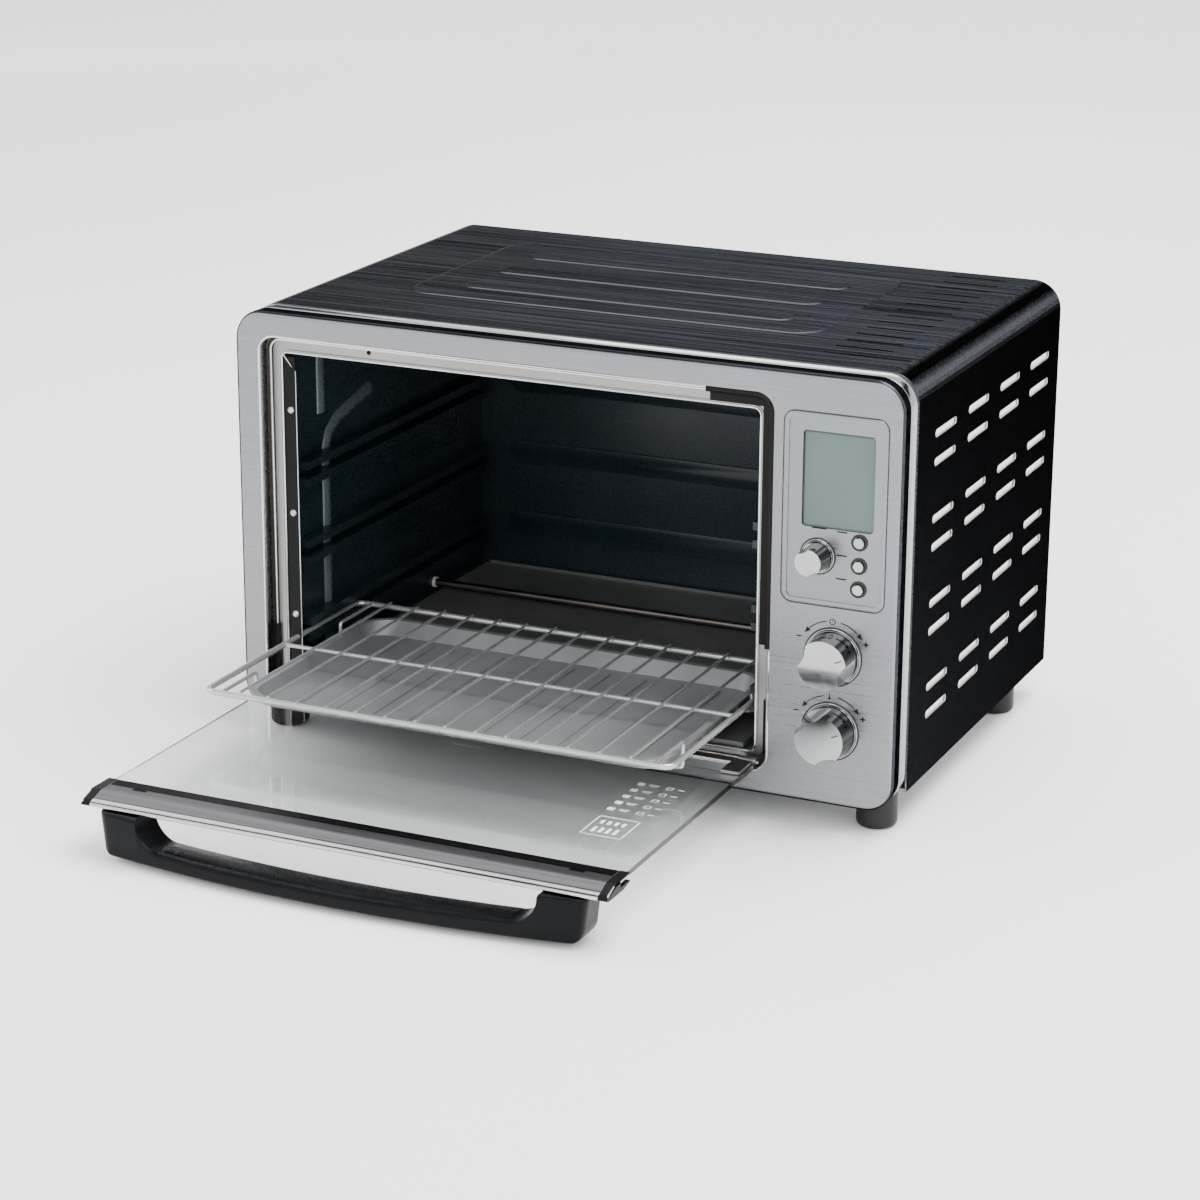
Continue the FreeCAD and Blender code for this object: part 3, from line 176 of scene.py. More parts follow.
def paint(obj, mat):
    obj.data.materials.clear()
    obj.data.materials.append(mat)
    return obj


def settle(obj, body, look, stands=(), angle=0):
    if angle:
        smooth(obj, angle)
    paint(obj, finish[look])
    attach(obj, body)
    if stands:
        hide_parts(*stands)
    return obj


# shader groups shared by the finishes

noise = {"low": 0.3, "high": 0.7}      # the span that a noise texture really fills
grain = {
    "fine": {"Scale": 1.0, "Detail": 4.0, "Roughness": 0.7}, "drift": {"Scale": 7.0, "Detail": 2.0},
    "streakSpan": (0.1, 0.9), "driftShade": (0.93, 0.93, 0.93),
}
speck = {"detail": 3.0, "coatRoughness": 0.12}
glassLook = {"speck": {"Scale": 60.0, "Patch": 5.0}, "dim": 0.985, "rough": (0.0, 0.015), "bend": 1.45}


def feed(tree, node, values):
    # a number or colour sets a socket, and another node's output is linked to it
    for label, value in values.items():
        if isinstance(value, bpy.types.NodeSocket):
            tree.links.new(value, node.inputs[label])
        else:
            node.inputs[label].default_value = value
    return node


def addNode(tree, kind, values, **settings):
    node = tree.nodes.new("ShaderNode" + kind)
    for label, value in settings.items():
        setattr(node, label, value)
    return feed(tree, node, values)


def newGroup(name, inputs, outputs):
    group = bpy.data.node_groups.new(name, "ShaderNodeTree")
    for label, value in inputs.items():
        kind = "NodeSocketVector" if isinstance(value, tuple) else "NodeSocketFloat"
        group.interface.new_socket(name=label, in_out="INPUT", socket_type=kind).default_value = value
    for label in outputs:
        group.interface.new_socket(name=label, in_out="OUTPUT", socket_type="NodeSocketFloat")
    return group, group.nodes.new("NodeGroupInput").outputs, group.nodes.new("NodeGroupOutput")


def spanOf(tree, source, low, high, start, end):
    values = {"Value": source, "From Min": low, "From Max": high, "To Min": start, "To Max": end}
    return addNode(tree, "MapRange", values).outputs["Result"]


def addNoise(tree, place, values):
    return addNode(tree, "TexNoise", {"Vector": place, **values}).outputs["Fac"]


def makeGrainGroup():
    # long hair lines of a brushed sheet, stretched by the Stretch vector, and a slow drift
    group, start, end = newGroup("brushGrain", {"Stretch": (6, 900, 900)}, ("Streak", "Drift"))
    place = addNode(group, "TexCoord", {}).outputs["Object"]
    scaled = addNode(group, "VectorMath", {0: place, 1: start["Stretch"]}, operation="MULTIPLY")
    fine = addNoise(group, scaled.outputs[0], grain["fine"])
    streak = spanOf(group, fine, noise["low"], noise["high"], 0.0, 1.0)
    feed(group, end, {"Streak": streak, "Drift": addNoise(group, place, grain["drift"])})
    return group


def makeSpeckGroup():
    # fine grain of a moulded or enamelled face, with slow patches
    group, start, end = newGroup("fineSpeck", {"Scale": 900.0, "Patch": 12.0}, ("Speck", "Patches"))
    place = addNode(group, "TexCoord", {}).outputs["Object"]
    for scale, result in (("Scale", "Speck"), ("Patch", "Patches")):
        feed(group, end, {result: addNoise(group, place, {"Detail": speck["detail"], "Scale": start[scale]})})
    return group


grainGroup = makeGrainGroup()
speckGroup = makeSpeckGroup()


def newMaterial(name):
    mat = bpy.data.materials.new(name)
    mat.use_nodes = True
    tree = mat.node_tree
    tree.nodes.clear()
    shader = addNode(tree, "BsdfPrincipled", {})
    addNode(tree, "OutputMaterial", {"Surface": shader.outputs[0]})
    return mat, tree, shader


def placeGroup(tree, group, values):
    return addNode(tree, "Group", values, node_tree=group).outputs


def rampOf(tree, source, stops):
    ramp = addNode(tree, "ValToRGB", {"Fac": source})
    marks = ramp.color_ramp.elements
    while len(marks) < len(stops):
        marks.new(0.5)
    for mark, (position, color) in zip(marks, stops):
        mark.position = position
        mark.color = (*color, 1)
    return ramp.outputs["Color"]


def patchColor(tree, source, dark, light):
    return rampOf(tree, source, ((noise["low"], dark), (noise["high"], light)))


def patchValue(tree, source, low, high):
    return spanOf(tree, source, noise["low"], noise["high"], low, high)


def bumpOf(tree, height, strength, distance=0.0001):
    values = {"Height": height, "Strength": strength, "Distance": distance}
    return addNode(tree, "Bump", values).outputs["Normal"]


def brushedMetal(name, dark, light, rough, stretch, bump=0.15, rim=1.0):
    mat, tree, shader = newMaterial(name)
    look = placeGroup(tree, grainGroup, {"Stretch": stretch})
    low, high = grain["streakSpan"]
    streak = rampOf(tree, look["Streak"], ((low, dark), (high, light)))
    drift = patchColor(tree, look["Drift"], grain["driftShade"], (1, 1, 1))
    color = addNode(tree, "MixRGB", {"Fac": 1.0, "Color1": streak, "Color2": drift}, blend_type="MULTIPLY")
    feed(tree, shader, {
        "Base Color": color.outputs["Color"], "Roughness": patchValue(tree, look["Streak"], *rough),
        "Metallic": 1.0, "Specular Tint": (rim, rim, rim, 1), "Normal": bumpOf(tree, look["Streak"], bump)})
    return mat


def speckled(name, dark, light, rough, metallic=0.0, scale=900.0, patch=12.0, bump=0.1, coat=0.0, sheen=0.5):
    mat, tree, shader = newMaterial(name)
    look = placeGroup(tree, speckGroup, {"Scale": scale, "Patch": patch})
    feed(tree, shader, {
        "Base Color": patchColor(tree, look["Patches"], dark, light),
        "Roughness": patchValue(tree, look["Speck"], *rough), "Metallic": metallic,
        "Specular IOR Level": sheen, "Coat Weight": coat, "Coat Roughness": speck["coatRoughness"],
        "Normal": bumpOf(tree, look["Speck"], bump)})
    return mat


def clearGlass(name, tint):
    mat, tree, shader = newMaterial(name)
    look = placeGroup(tree, speckGroup, glassLook["speck"])
    soft = [c * glassLook["dim"] for c in tint]
    feed(tree, shader, {
        "Base Color": patchColor(tree, look["Patches"], soft, tint), "Transmission Weight": 1.0,
        "Roughness": patchValue(tree, look["Speck"], *glassLook["rough"]), "IOR": glassLook["bend"]})
    return mat


finish = {
    "shell": brushedMetal(
        "brushedShell", (0.16, 0.165, 0.176), (0.25, 0.256, 0.272), (0.20, 0.32),
        stretch=(3, 900, 900), rim=0.1),
    "bezel": brushedMetal(
        "bezelSatin", (0.215, 0.218, 0.225), (0.255, 0.258, 0.266), (0.26, 0.36),
        stretch=(6, 500, 500), bump=0.05),
    "frame": speckled(
        "zincFrame", (0.25, 0.245, 0.235), (0.30, 0.293, 0.28), (0.28, 0.34),
        metallic=1.0, scale=500, patch=9, bump=0.02),
    "enamel": speckled(
        "darkEnamel", (0.006, 0.012, 0.016), (0.011, 0.021, 0.027), (0.22, 0.34),
        scale=1400, patch=9, bump=0.25, sheen=0.35),
    "seal": speckled(
        "sealRubber", (0.003, 0.003, 0.003), (0.005, 0.005, 0.005), (0.30, 0.42),
        scale=1600, patch=20, bump=0.08, sheen=0.12),
    "sheet": brushedMetal(
        "plainSheet", (0.30, 0.305, 0.31), (0.42, 0.425, 0.43), (0.34, 0.48),
        stretch=(14, 14, 14), bump=0.06),
    "screw": brushedMetal(
        "brightScrew", (0.40, 0.40, 0.40), (0.55, 0.55, 0.55), (0.15, 0.25),
        stretch=(300, 300, 300), bump=0.1),
    "wool": speckled(
        "mineralWool", (0.45, 0.40, 0.26), (0.66, 0.61, 0.44), (0.85, 0.98), scale=300, patch=40, bump=0.9),
    "sheath": brushedMetal(
        "heaterSheath", (0.10, 0.09, 0.085), (0.16, 0.145, 0.135), (0.28, 0.42),
        stretch=(20, 300, 300), bump=0.1),
    "ceramic": speckled(
        "whiteCeramic", (0.72, 0.70, 0.64), (0.84, 0.82, 0.77), (0.45, 0.60),
        scale=700, patch=60, bump=0.15),
    "tray": speckled(
        "traySteel", (0.12, 0.12, 0.12), (0.17, 0.17, 0.17), (0.36, 0.46),
        metallic=0.5, scale=700, patch=14, bump=0.05),
    "fan": brushedMetal(
        "fanAluminium", (0.60, 0.60, 0.61), (0.74, 0.74, 0.75), (0.3, 0.42),
        stretch=(90, 90, 90), bump=0.1),
    "iron": speckled(
        "motorIron", (0.10, 0.10, 0.11), (0.19, 0.19, 0.20), (0.45, 0.60),
        metallic=0.8, scale=800, patch=30, bump=0.2),
    "wire": speckled(
        "chromeWire", (0.42, 0.425, 0.43), (0.50, 0.505, 0.51), (0.16, 0.24),
        metallic=0.7, patch=20, bump=0.01),
    "pan": speckled(
        "panSteel", (0.20, 0.205, 0.21), (0.30, 0.305, 0.31), (0.34, 0.44),
        metallic=0.45, scale=700, patch=14, bump=0.05),
    "board": speckled(
        "circuitBoard", (0.02, 0.16, 0.07), (0.04, 0.24, 0.11), (0.35, 0.45),
        scale=500, patch=90, coat=0.4),
    "display": speckled(
        "displayCell", (0.080, 0.120, 0.112), (0.095, 0.138, 0.129), (0.22, 0.26),
        patch=8, bump=0.01, sheen=0.3),
    # painted reflection and shade: a dark copy of the bezel steel
    "shadeBand": brushedMetal(
        "paintedShadeSteel", (0.035, 0.037, 0.043), (0.055, 0.058, 0.066), (0.24, 0.32),
        stretch=(6, 300, 300), bump=0.03, rim=0.05),
    "chrome": brushedMetal(
        "skirtChrome", (0.30, 0.305, 0.31), (0.36, 0.365, 0.37), (0.05, 0.10),
        stretch=(30, 30, 30), bump=0.01),
    "bead": brushedMetal(
        "beadSteel", (0.24, 0.242, 0.25), (0.30, 0.302, 0.31), (0.12, 0.20),
        stretch=(6, 300, 300), bump=0.02),
    # painted shade inside the top vents
    "ventShade": speckled(
        "paintedVentShade", (0.001, 0.001, 0.001), (0.002, 0.002, 0.002), (0.92, 0.98),
        patch=20, bump=0.02, sheen=0.0),
    # painted shade in the recess groove
    "grooveShade": speckled(
        "paintedGrooveShade", (0.03, 0.022, 0.015), (0.05, 0.038, 0.026), (0.35, 0.45),
        metallic=0.3, patch=20, bump=0.02),
    "shade": speckled(
        "shadowStrip", (0.03, 0.036, 0.036), (0.045, 0.052, 0.05), (0.30, 0.40), patch=20, bump=0.02),
    # painted light: white sheet that shows through the slots
    "slotLightSheet": speckled(
        "paintedSlotLight", (0.90, 0.90, 0.90), (0.96, 0.96, 0.96), (0.50, 0.60), scale=600, patch=20, bump=0.05),
    # painted highlight: a bright copy of the steel on rolled edges and lips
    "highlightLip": brushedMetal(
        "paintedHighlightLip", (0.52, 0.52, 0.53), (0.64, 0.64, 0.65), (0.10, 0.18),
        stretch=(8, 300, 300), bump=0.03),
    "band": speckled(
        "blackBand", (0.002, 0.002, 0.002), (0.004, 0.004, 0.0045), (0.16, 0.24),
        scale=1200, patch=14, bump=0.04, sheen=0.12),
    "print": speckled(
        "panelInk", (0.006, 0.006, 0.007), (0.01, 0.01, 0.011), (0.45, 0.55),
        patch=30, bump=0.02, sheen=0.1),
    "whitePrint": speckled(
        "whiteInk", (0.80, 0.82, 0.83), (0.88, 0.90, 0.90), (0.40, 0.50), patch=30, bump=0.02),
    # painted highlight: a lighter copy of the enamel for the side ridge
    "ridgeHighlight": speckled(
        "paintedHighlightEnamel", (0.07, 0.088, 0.096), (0.09, 0.112, 0.12), (0.22, 0.30),
        metallic=0.2, scale=1000, patch=20, bump=0.05),
    "lens": clearGlass("displayLens", (0.97, 0.99, 0.98)),
    "black": speckled(
        "blackMoulded", (0.003, 0.003, 0.0035), (0.006, 0.006, 0.0065), (0.32, 0.45),
        scale=1500, patch=15, sheen=0.12),
    "handle": speckled(
        "handlePlastic", (0.001, 0.0012, 0.0018), (0.0022, 0.0026, 0.0034), (0.20, 0.30),
        scale=1800, patch=9, bump=0.04, sheen=0.10),
    "knob": brushedMetal(
        "knobChrome", (0.36, 0.365, 0.37), (0.42, 0.425, 0.43), (0.04, 0.08),
        stretch=(30, 30, 30), bump=0.01),
    "ring": speckled(
        "darkRing", (0.015, 0.015, 0.016), (0.028, 0.029, 0.03), (0.12, 0.2),
        metallic=0.6, patch=25, bump=0.03, sheen=0.3),
    "glass": clearGlass("doorGlass", (0.975, 0.99, 0.985)),
    "rail": brushedMetal(
        "railSteel", (0.13, 0.13, 0.135), (0.18, 0.18, 0.185), (0.32, 0.42),
        stretch=(4, 500, 500), bump=0.04),
    "foot": speckled(
        "footRubber", (0.006, 0.006, 0.006), (0.012, 0.012, 0.013), (0.40, 0.55),
        scale=1200, patch=30, bump=0.15, sheen=0.25),
}


def throughMath(tree, operation, *sources):
    return addNode(tree, "Math", dict(enumerate(sources)), operation=operation).outputs[0]


def splitUp(tree, source):
    return addNode(tree, "SeparateXYZ", {0: source}).outputs


def mixedTone(tree, factor, first, second):
    values = {"Factor": factor, "A": first, "B": second}
    return addNode(tree, "Mix", values, data_type="FLOAT").outputs["Result"]


def scaleBase(tree, tone):
    # the finish's own colour, made darker or lighter by painted light and shade
    shader = next(n for n in tree.nodes if n.type == "BSDF_PRINCIPLED")
    base = shader.inputs["Base Color"].links[0].from_socket
    scaled = addNode(tree, "VectorMath", {0: base, "Scale": tone}, operation="SCALE")
    feed(tree, shader, {"Base Color": scaled.outputs[0]})


# painted reflection bands round the cover's bend and painted shade on its sides
shellPaintedLight = {
    "bend": ((0.0, 0.92), (0.22, 0.80), (0.42, 0.10), (0.66, 0.08), (0.80, 1.0), (0.90, 0.85), (0.985, 0.55),
             (1.0, 0.50)),
    "rise": (0.03, 0.31, 0.75, 0.34), "depth": (-0.15, 0.17, 1.25, 0.75), "flat": (0.96, 0.999, 0.0, 1.0),
}
# painted reflection on the knobs' turned walls
knobPaintedLight = {
    "noise": {"Scale": 2.6, "Detail": 1.0}, "bands": (0.42, 0.58), "bright": 0.9,
    "face": (0.55, 0.95, 0.0, 1.0),
}


def paintShellLight(mat):
    # bent cover: painted reflection in dark and bright bands round its bend, and painted shade on the sides,
    # darker upward and rearward
    tree, t = mat.node_tree, shellPaintedLight
    coord = addNode(tree, "TexCoord", {}).outputs
    place = splitUp(tree, coord["Object"])
    sideways = throughMath(tree, "ABSOLUTE", splitUp(tree, coord["Normal"])["X"])
    bend = rampOf(tree, sideways, [(position, (tone, tone, tone)) for position, tone in t["bend"]])
    rise, depth = spanOf(tree, place["Z"], *t["rise"]), spanOf(tree, place["Y"], *t["depth"])
    side = throughMath(tree, "MULTIPLY", rise, depth)
    flat = mixedTone(tree, spanOf(tree, sideways, *t["flat"]), 1.0, side)
    scaleBase(tree, throughMath(tree, "MULTIPLY", bend, flat))


def paintKnobLight(mat, dark):
    # polished knob: painted reflection, its turned wall painted darker than its face, with soft painted bands
    # round it
    tree, t = mat.node_tree, knobPaintedLight
    facing = addNode(tree, "TexCoord", {}).outputs["Normal"]
    wall = spanOf(tree, addNoise(tree, facing, t["noise"]), *t["bands"], dark, t["bright"])
    forward = throughMath(tree, "ABSOLUTE", splitUp(tree, facing)["Y"])
    scaleBase(tree, mixedTone(tree, spanOf(tree, forward, *t["face"]), wall, 1.0))


# painted reflection and shade on the cover
paintShellLight(finish["shell"])
# painted reflections on the knobs and their skirts
paintKnobLight(finish["knob"], dark=0.10)
paintKnobLight(finish["chrome"], dark=0.15)
cadFinish = {
    "shell": ["outer_wrap"],
    "bezel": ["front_bezel"],
    "frame": ["chamber_frame", "hinge_clip_left", "hinge_clip_right"],
    "enamel": ["cavity_liner"],
    "seal": ["steam_seal"],
    "sheet": ["bulkhead", "base_plate", "rear_panel", "fan_scroll"],
    "screw": ["cover_screws", "foot_screws", "handle_screws", "hinge_pins", "function_shaft", "timer_shaft",
              "temperature_shaft"],
    "wool": ["top_insulation", "rear_insulation"],
    "sheath": ["lower_front_element", "lower_rear_element", "upper_front_element", "upper_rear_element",
               "thermostat_probe"],
    "ceramic": ["element_insulators"],
    "tray": ["crumb_tray"],
    "fan": ["convection_fan"],
    "iron": ["fan_motor"],
    "wire": ["rack"],
    "pan": ["bake_pan"],
    "board": ["control_board", "power_board"],
    "display": ["lcd_module"],
    "lens": ["lcd_lens"],
    "black": ["encoder_bodies", "tact_switches", "power_relays", "terminal_block", "thermal_fuse",
              "cord_gland", "rail_cap_left", "rail_cap_right", "hinge_bracket_left",
              "hinge_bracket_right"],
    "handle": ["door_handle"],
    "knob": ["function_knob", "timer_knob", "temperature_knob", "upper_button", "middle_button",
             "lower_button"],
    "ring": ["knob_rings", "button_collars"],
    "glass": ["door_glass"],
    "rail": ["door_rail"],
    "foot": ["foot_front_left", "foot_front_right", "foot_rear_left", "foot_rear_right"],
}
for key, members in cadFinish.items():
    for member in members:
        paint(nodes[member], finish[key])
        smooth(nodes[member], 30)
print("finishes on", sum(len(v) for v in cadFinish.values()), "nodes")


# shared shapes for the detailed pieces, all in millimetres

def mm(*values):
    return [v / perMetre for v in values]


def block(name, xs, ys, zs):
    return addBlock(name, mm(xs[0], ys[0], zs[0]), mm(xs[1], ys[1], zs[1]))


def pill(name, middle, length, height, depth, along, through):
    return addPill(name, mm(*middle), *mm(length, height, depth), along, through)


def wire(name, points, radius, closed=False, sides=3):
    clearSelection()
    curve = bpy.data.curves.new(name, "CURVE")
    curve.dimensions = "3D"
    curve.bevel_depth = radius / 1000
    curve.bevel_resolution = sides
    spline = curve.splines.new("POLY")
    spline.points.add(len(points) - 1)
    for spot, point in zip(spline.points, points):
        spot.co = (*mm(*point), 1)
    spline.use_cyclic_u = closed
    curve.use_fill_caps = True
    obj = bpy.data.objects.new(name, curve)
    bpy.context.scene.collection.objects.link(obj)
    pick(obj)
    bpy.ops.object.convert(target="MESH")
    return bpy.context.object


def meshPiece(name, points, faces):
    mesh = bpy.data.meshes.new(name)
    mesh.from_pydata([mm(*p) for p in points], [], faces)
    obj = bpy.data.objects.new(name, mesh)
    bpy.context.scene.collection.objects.link(obj)
    return obj


def gridFaces(rows, columns, rowsMeet, columnsMeet):
    # quads over rows of points; a direction that meets closes on itself
    faces = []
    for i in range(rows if rowsMeet else rows - 1):
        k = (i + 1) % rows
        for j in range(columns if columnsMeet else columns - 1):
            m = (j + 1) % columns
            faces.append((i * columns + j, i * columns + m, k * columns + m, k * columns + j))
    return faces


def outward(obj, merge=0.0):
    pick(obj)
    setMode("EDIT")
    bpy.ops.mesh.select_all(action="SELECT")
    if merge:
        bpy.ops.mesh.remove_doubles(threshold=merge)
    bpy.ops.mesh.normals_make_consistent(inside=False)
    setMode("OBJECT")
    return obj


def loft(name, rings):
    # skin over a row of closed rings with the same number of points
    rows, count = len(rings), len(rings[0])
    faces = gridFaces(rows, count, False, True)
    faces += [tuple(range(count)), tuple(range((rows - 1) * count, rows * count))]
    return outward(meshPiece(name, [p for ring in rings for p in ring], faces))


def turned(name, middle, profile, steps=72):
    # body turned about Y through middle from (radius, y) pairs
    x, y, z = middle
    points = []
    for i in range(steps):
        a = 2 * math.pi * i / steps
        points += [(x + r * math.cos(a), y + dy, z + r * math.sin(a)) for r, dy in profile]
    obj = meshPiece(name, points, gridFaces(steps, len(profile), True, False))
    return outward(obj, shaping["mergeTurned"])


def roundedPath(x0, x1, z0, z1, radius, steps=10):
    # points and outward directions round a rounded rectangle in XZ
    path = []
    left, right, low, high = x0 + radius, x1 - radius, z0 + radius, z1 - radius
    for cx, cz, start in ((right, high, 0), (left, high, 90), (left, low, 180), (right, low, 270)):
        for i in range(steps + 1):
            a = math.radians(start + 90 * i / steps)
            path.append((cx + radius * math.cos(a), cz + radius * math.sin(a), math.cos(a), math.sin(a)))
    return path


def frameRing(name, around, section):
    # closed moulding round a rounded rectangle; section holds (outward offset, y)
    path = roundedPath(*around)
    points = [(x + o * dx, y, z + o * dz) for x, z, dx, dz in path for o, y in section]
    obj = meshPiece(name, points, gridFaces(len(path), len(section), True, True))
    return smooth(outward(obj), 45)


def addTrims(trims):
    # mouldings on the fixed body, each with its path, slot, finish and section
    for name, (around, slot, look, section) in trims.items():
        settle(frameRing(name, around, section), "oven", look)


def aroundY(x, y, z, radius, degrees):
    # point on a circle that faces the front
    a = math.radians(degrees)
    return (x + radius * math.cos(a), y, z + radius * math.sin(a))


def easeStep(value):
    value = max(0.0, min(1.0, value))
    return value * value * (3 - 2 * value)


def insideBy(x, y, middle, half, radius):
    # how far a point lies inside a rounded rectangle
    dx = abs(x - middle[0]) - (half[0] - radius)
    dy = abs(y - middle[1]) - (half[1] - radius)
    outside = math.hypot(max(dx, 0), max(dy, 0))
    return radius - outside - min(max(dx, dy), 0)


# outer wrap with the pressed top

wrap = {"top": 336.0, "ringsAbove": 336.1, "lift": 0.03}
pressing = {
    "middle": (-11.0, 28.0), "half": (169.0, 102.0), "margin": 3.0, "corner": 24.0, "rise": 0.55,
    "slope": 1.8, "ribLength": 272.0, "ribWidth": 26.0, "ribPitch": 57.5, "ribRise": 0.6,
    "ribEase": 0.01, "step": 0.95,
}
slots = {
    "columns": (-90.0, -17.0, 56.0, 129.0), "pairs": 4, "top": 284.7, "pairPitch": 63.1, "rowGap": 21.0,
    "backX": (262.6, 263.2), "backHalf": (26.0, 16.0),
    "lipX": 264.5, "lipReach": 19.5, "lipRadius": 3.1, "lipWire": 0.45, "lipSteps": 24,
}
vents = {
    "x": 203.2, "z": 335.6, "first": -115.0, "pitch": 21.3077, "count": 14, "length": 43.7, "width": 2.8,
    "depth": 0.6,
}


def makeWrap():
    obj = copyOf("wrapSheet", "outer_wrap")
    selectWhere(obj, "FACE", lambda middle, normal: middle.z > wrap["ringsAbove"] / perMetre)
    bpy.ops.mesh.delete(type="FACE")
    setMode("OBJECT")
    smooth(obj, 25)
    evenNormals(obj)
    return settle(obj, "oven", "shell", ["outer_wrap"])


def pressedHeight(x, y):
    p = pressing
    plate = insideBy(x, y, p["middle"], p["half"], p["corner"])
    height = p["rise"] * easeStep(plate / p["slope"])
    for i in (-1, 0, 1):
        middle = (p["middle"][0], p["middle"][1] + i * p["ribPitch"])
        half = (p["ribLength"] / 2, p["ribWidth"] / 2)
        rib = insideBy(x, y, middle, half, half[1] - p["ribEase"])
        height += p["ribRise"] * easeStep(rib / p["slope"])
    return height


def makePressing():
    p = pressing
    clearSelection()
    size = [2 * (h + p["margin"]) for h in p["half"]]
    bpy.ops.mesh.primitive_grid_add(
        x_subdivisions=int(size[0] / p["step"]), y_subdivisions=int(size[1] / p["step"]), size=1)
    obj = bpy.context.object
    obj.name = "pressedTop"
    for vert in obj.data.vertices:
        x = p["middle"][0] + vert.co.x * size[0]
        y = p["middle"][1] + vert.co.y * size[1]
        vert.co = Vector(mm(x, y, wrap["top"] + wrap["lift"] + pressedHeight(x, y)))
    return settle(obj, "oven", "shell", angle=60)


def slotPairs():
    # side, depth and upper height of each pair of slots
    for side in (-1, 1):
        for y in slots["columns"]:
            for pair in range(slots["pairs"]):
                yield side, y, slots["top"] - pair * slots["pairPitch"]


# painted light: white sheets just behind the slots make them read bright
def makeSlotLightSheets():
    s = slots
    deep, high = s["backHalf"]
    parts = []
    for side, y, top in slotPairs():
        z = top - s["rowGap"] / 2
        xs = sorted(side * x for x in s["backX"])
        parts.append(block("slotLightSheet", xs, (y - deep, y + deep), (z - high, z + high)))
    return settle(joinUp("slotLightSheets", parts), "oven", "slotLightSheet")


# rolled lips round the slots, their brightness a painted highlight
def makeSlotLips():
    s = slots
    parts = []
    for side, y, top in slotPairs():
        for z in (top, top - s["rowGap"]):
            points = []
            for i in range(s["lipSteps"]):
                a = 2 * math.pi * i / s["lipSteps"]
                shift = s["lipReach"] if math.cos(a) > 0 else -s["lipReach"]
                dy, dz = s["lipRadius"] * math.cos(a), s["lipRadius"] * math.sin(a)
                points.append((side * s["lipX"], y + shift + dy, z + dz))
            parts.append(wire("slotLip", points, s["lipWire"], True, 1))
    return settle(joinUp("slotLips", parts), "oven", "highlightLip", angle=60)


def makeVentShades():
    # painted shade: dark pills just under the top sheet stand for the shade inside the vents
    v = vents
    parts = []
    for i in range(v["count"]):
        middle = (v["x"], v["first"] + i * v["pitch"], v["z"])
        parts.append(pill("ventShadePill", middle, v["length"], v["width"], v["depth"], "X", "Z"))
    return settle(joinUp("ventShades", parts), "oven", "ventShade")


makeWrap()
makeVentShades()
makePressing()
makeSlotLightSheets()
makeSlotLips()
print("wrap, pressed top and slots")


# front panel: display, prints and knob skirts

panel = {"face": -178.0, "printLift": 0.06, "printDepth": 0.12}
displayPlace = {
    "x": (189.6, 245.8), "z": (224.9, 296.7), "face": -175.4, "front": 0.5, "rear": 0.6,
    "shade": 2.2, "topShare": 1.3, "edgeShare": 0.5, "shadeDepth": 0.25,
}
dials = {
    "timer": {"x": 217.1, "z": 132.3, "skirt": 22.0}, "temperature": {"x": 216.4, "z": 76.5, "skirt": 22.0},
    "function": {"x": 203.8, "z": 205.2, "skirt": 13.4},
}
prints = {
    "arcRadius": 26.5, "arcs": ((47, 78), (102, 133)), "arcSteps": 12, "arcWire": 0.42,
    "arrows": ((42, -50), (138, 230)), "arrowSize": 3.1, "arrowBack": 0.55, "arrowSide": 0.62,
    "signs": ((-26.0, 12.4, 3.6, 1.0), (24.5, 12.6, 4.0, 1.0), (24.5, 12.6, 1.0, 4.0)),
    "symbol": (-1.0, 26.0), "clockRadius": 2.1, "clockWire": 0.36, "clockStep": 15,
    "clockHands": ((0.0, 0.6, 0.35, 1.3), (0.5, 0.0, 1.2, 0.35)), "stem": (0.0, 0.8, 0.7, 3.4),
    "bulbRadius": 1.0, "bulbDrop": 1.3, "keys": (221.5, 224.8, 17.1), "keyMark": (7.5, 1.0),
    "dialMark": (0.5, 20.5, 11.0, 1.0),
}
skirtSections = {
    "skirt": ((-4.6, 0.0), (-4.6, -2.3), (-3.4, -2.45), (-2.2, -2.3), (-1.7, -1.6), (-1.5, -0.9),
              (-0.9, -0.7), (-0.8, 0.0)),
    "rim": ((-1.1, 0.0), (-1.1, -0.75), (-0.4, -0.8), (0.1, -0.5), (0.1, 0.0)),
}
pointers = {"timer": ("timer_dial", 22.0), "temperature": ("temperature_dial", 24.0)}
pointerLine = {"face": -201.0, "lift": 0.02, "reach": (10.5, 16.0), "wire": 0.4}


def makeDisplay():
    d = displayPlace
    face = block("displayFace", d["x"], (d["face"] - d["front"], d["face"] + d["rear"]), d["z"])
    settle(face, "oven", "display", ["lcd_lens"])
    x0, x1 = d["x"]
    z0, z1 = d["z"]
    ys = (d["face"] - d["front"] - d["shadeDepth"], d["face"] - d["front"])
    edge = d["shade"] * d["edgeShare"]
    strips = [
        block("shadeLeft", (x0, x0 + d["shade"]), ys, (z0, z1)),
        block("shadeTop", (x0, x1), ys, (z1 - d["shade"] * d["topShare"], z1)),
        block("shadeRight", (x1 - edge, x1), ys, (z0, z1)),
        block("shadeLow", (x0, x1), ys, (z0, z0 + edge)),
    ]
    return settle(joinUp("displayShade", strips), "oven", "shade")


def panelMark(x, z, dx, dz, width, height):
    y = panel["face"] - panel["printLift"]
    x, z = x + dx, z + dz
    xs, zs = (x - width / 2, x + width / 2), (z - height / 2, z + height / 2)
    return block("mark", xs, (y - panel["printDepth"], y), zs)


def arrowHead(x, z, angle):
    y0 = panel["face"] - panel["printLift"]
    turn = math.radians(angle)
    size = prints["arrowSize"]
    back, wide = size * prints["arrowBack"], size * prints["arrowSide"]
    corners = []
    for reach, side in ((size, 0), (-back, wide), (-back, -wide)):
        corners.append((x + reach * math.cos(turn) - side * math.sin(turn),
                        z + reach * math.sin(turn) + side * math.cos(turn)))
    return loft("arrow", [[(cx, y, cz) for cx, cz in corners] for y in (y0, y0 - panel["printDepth"])])


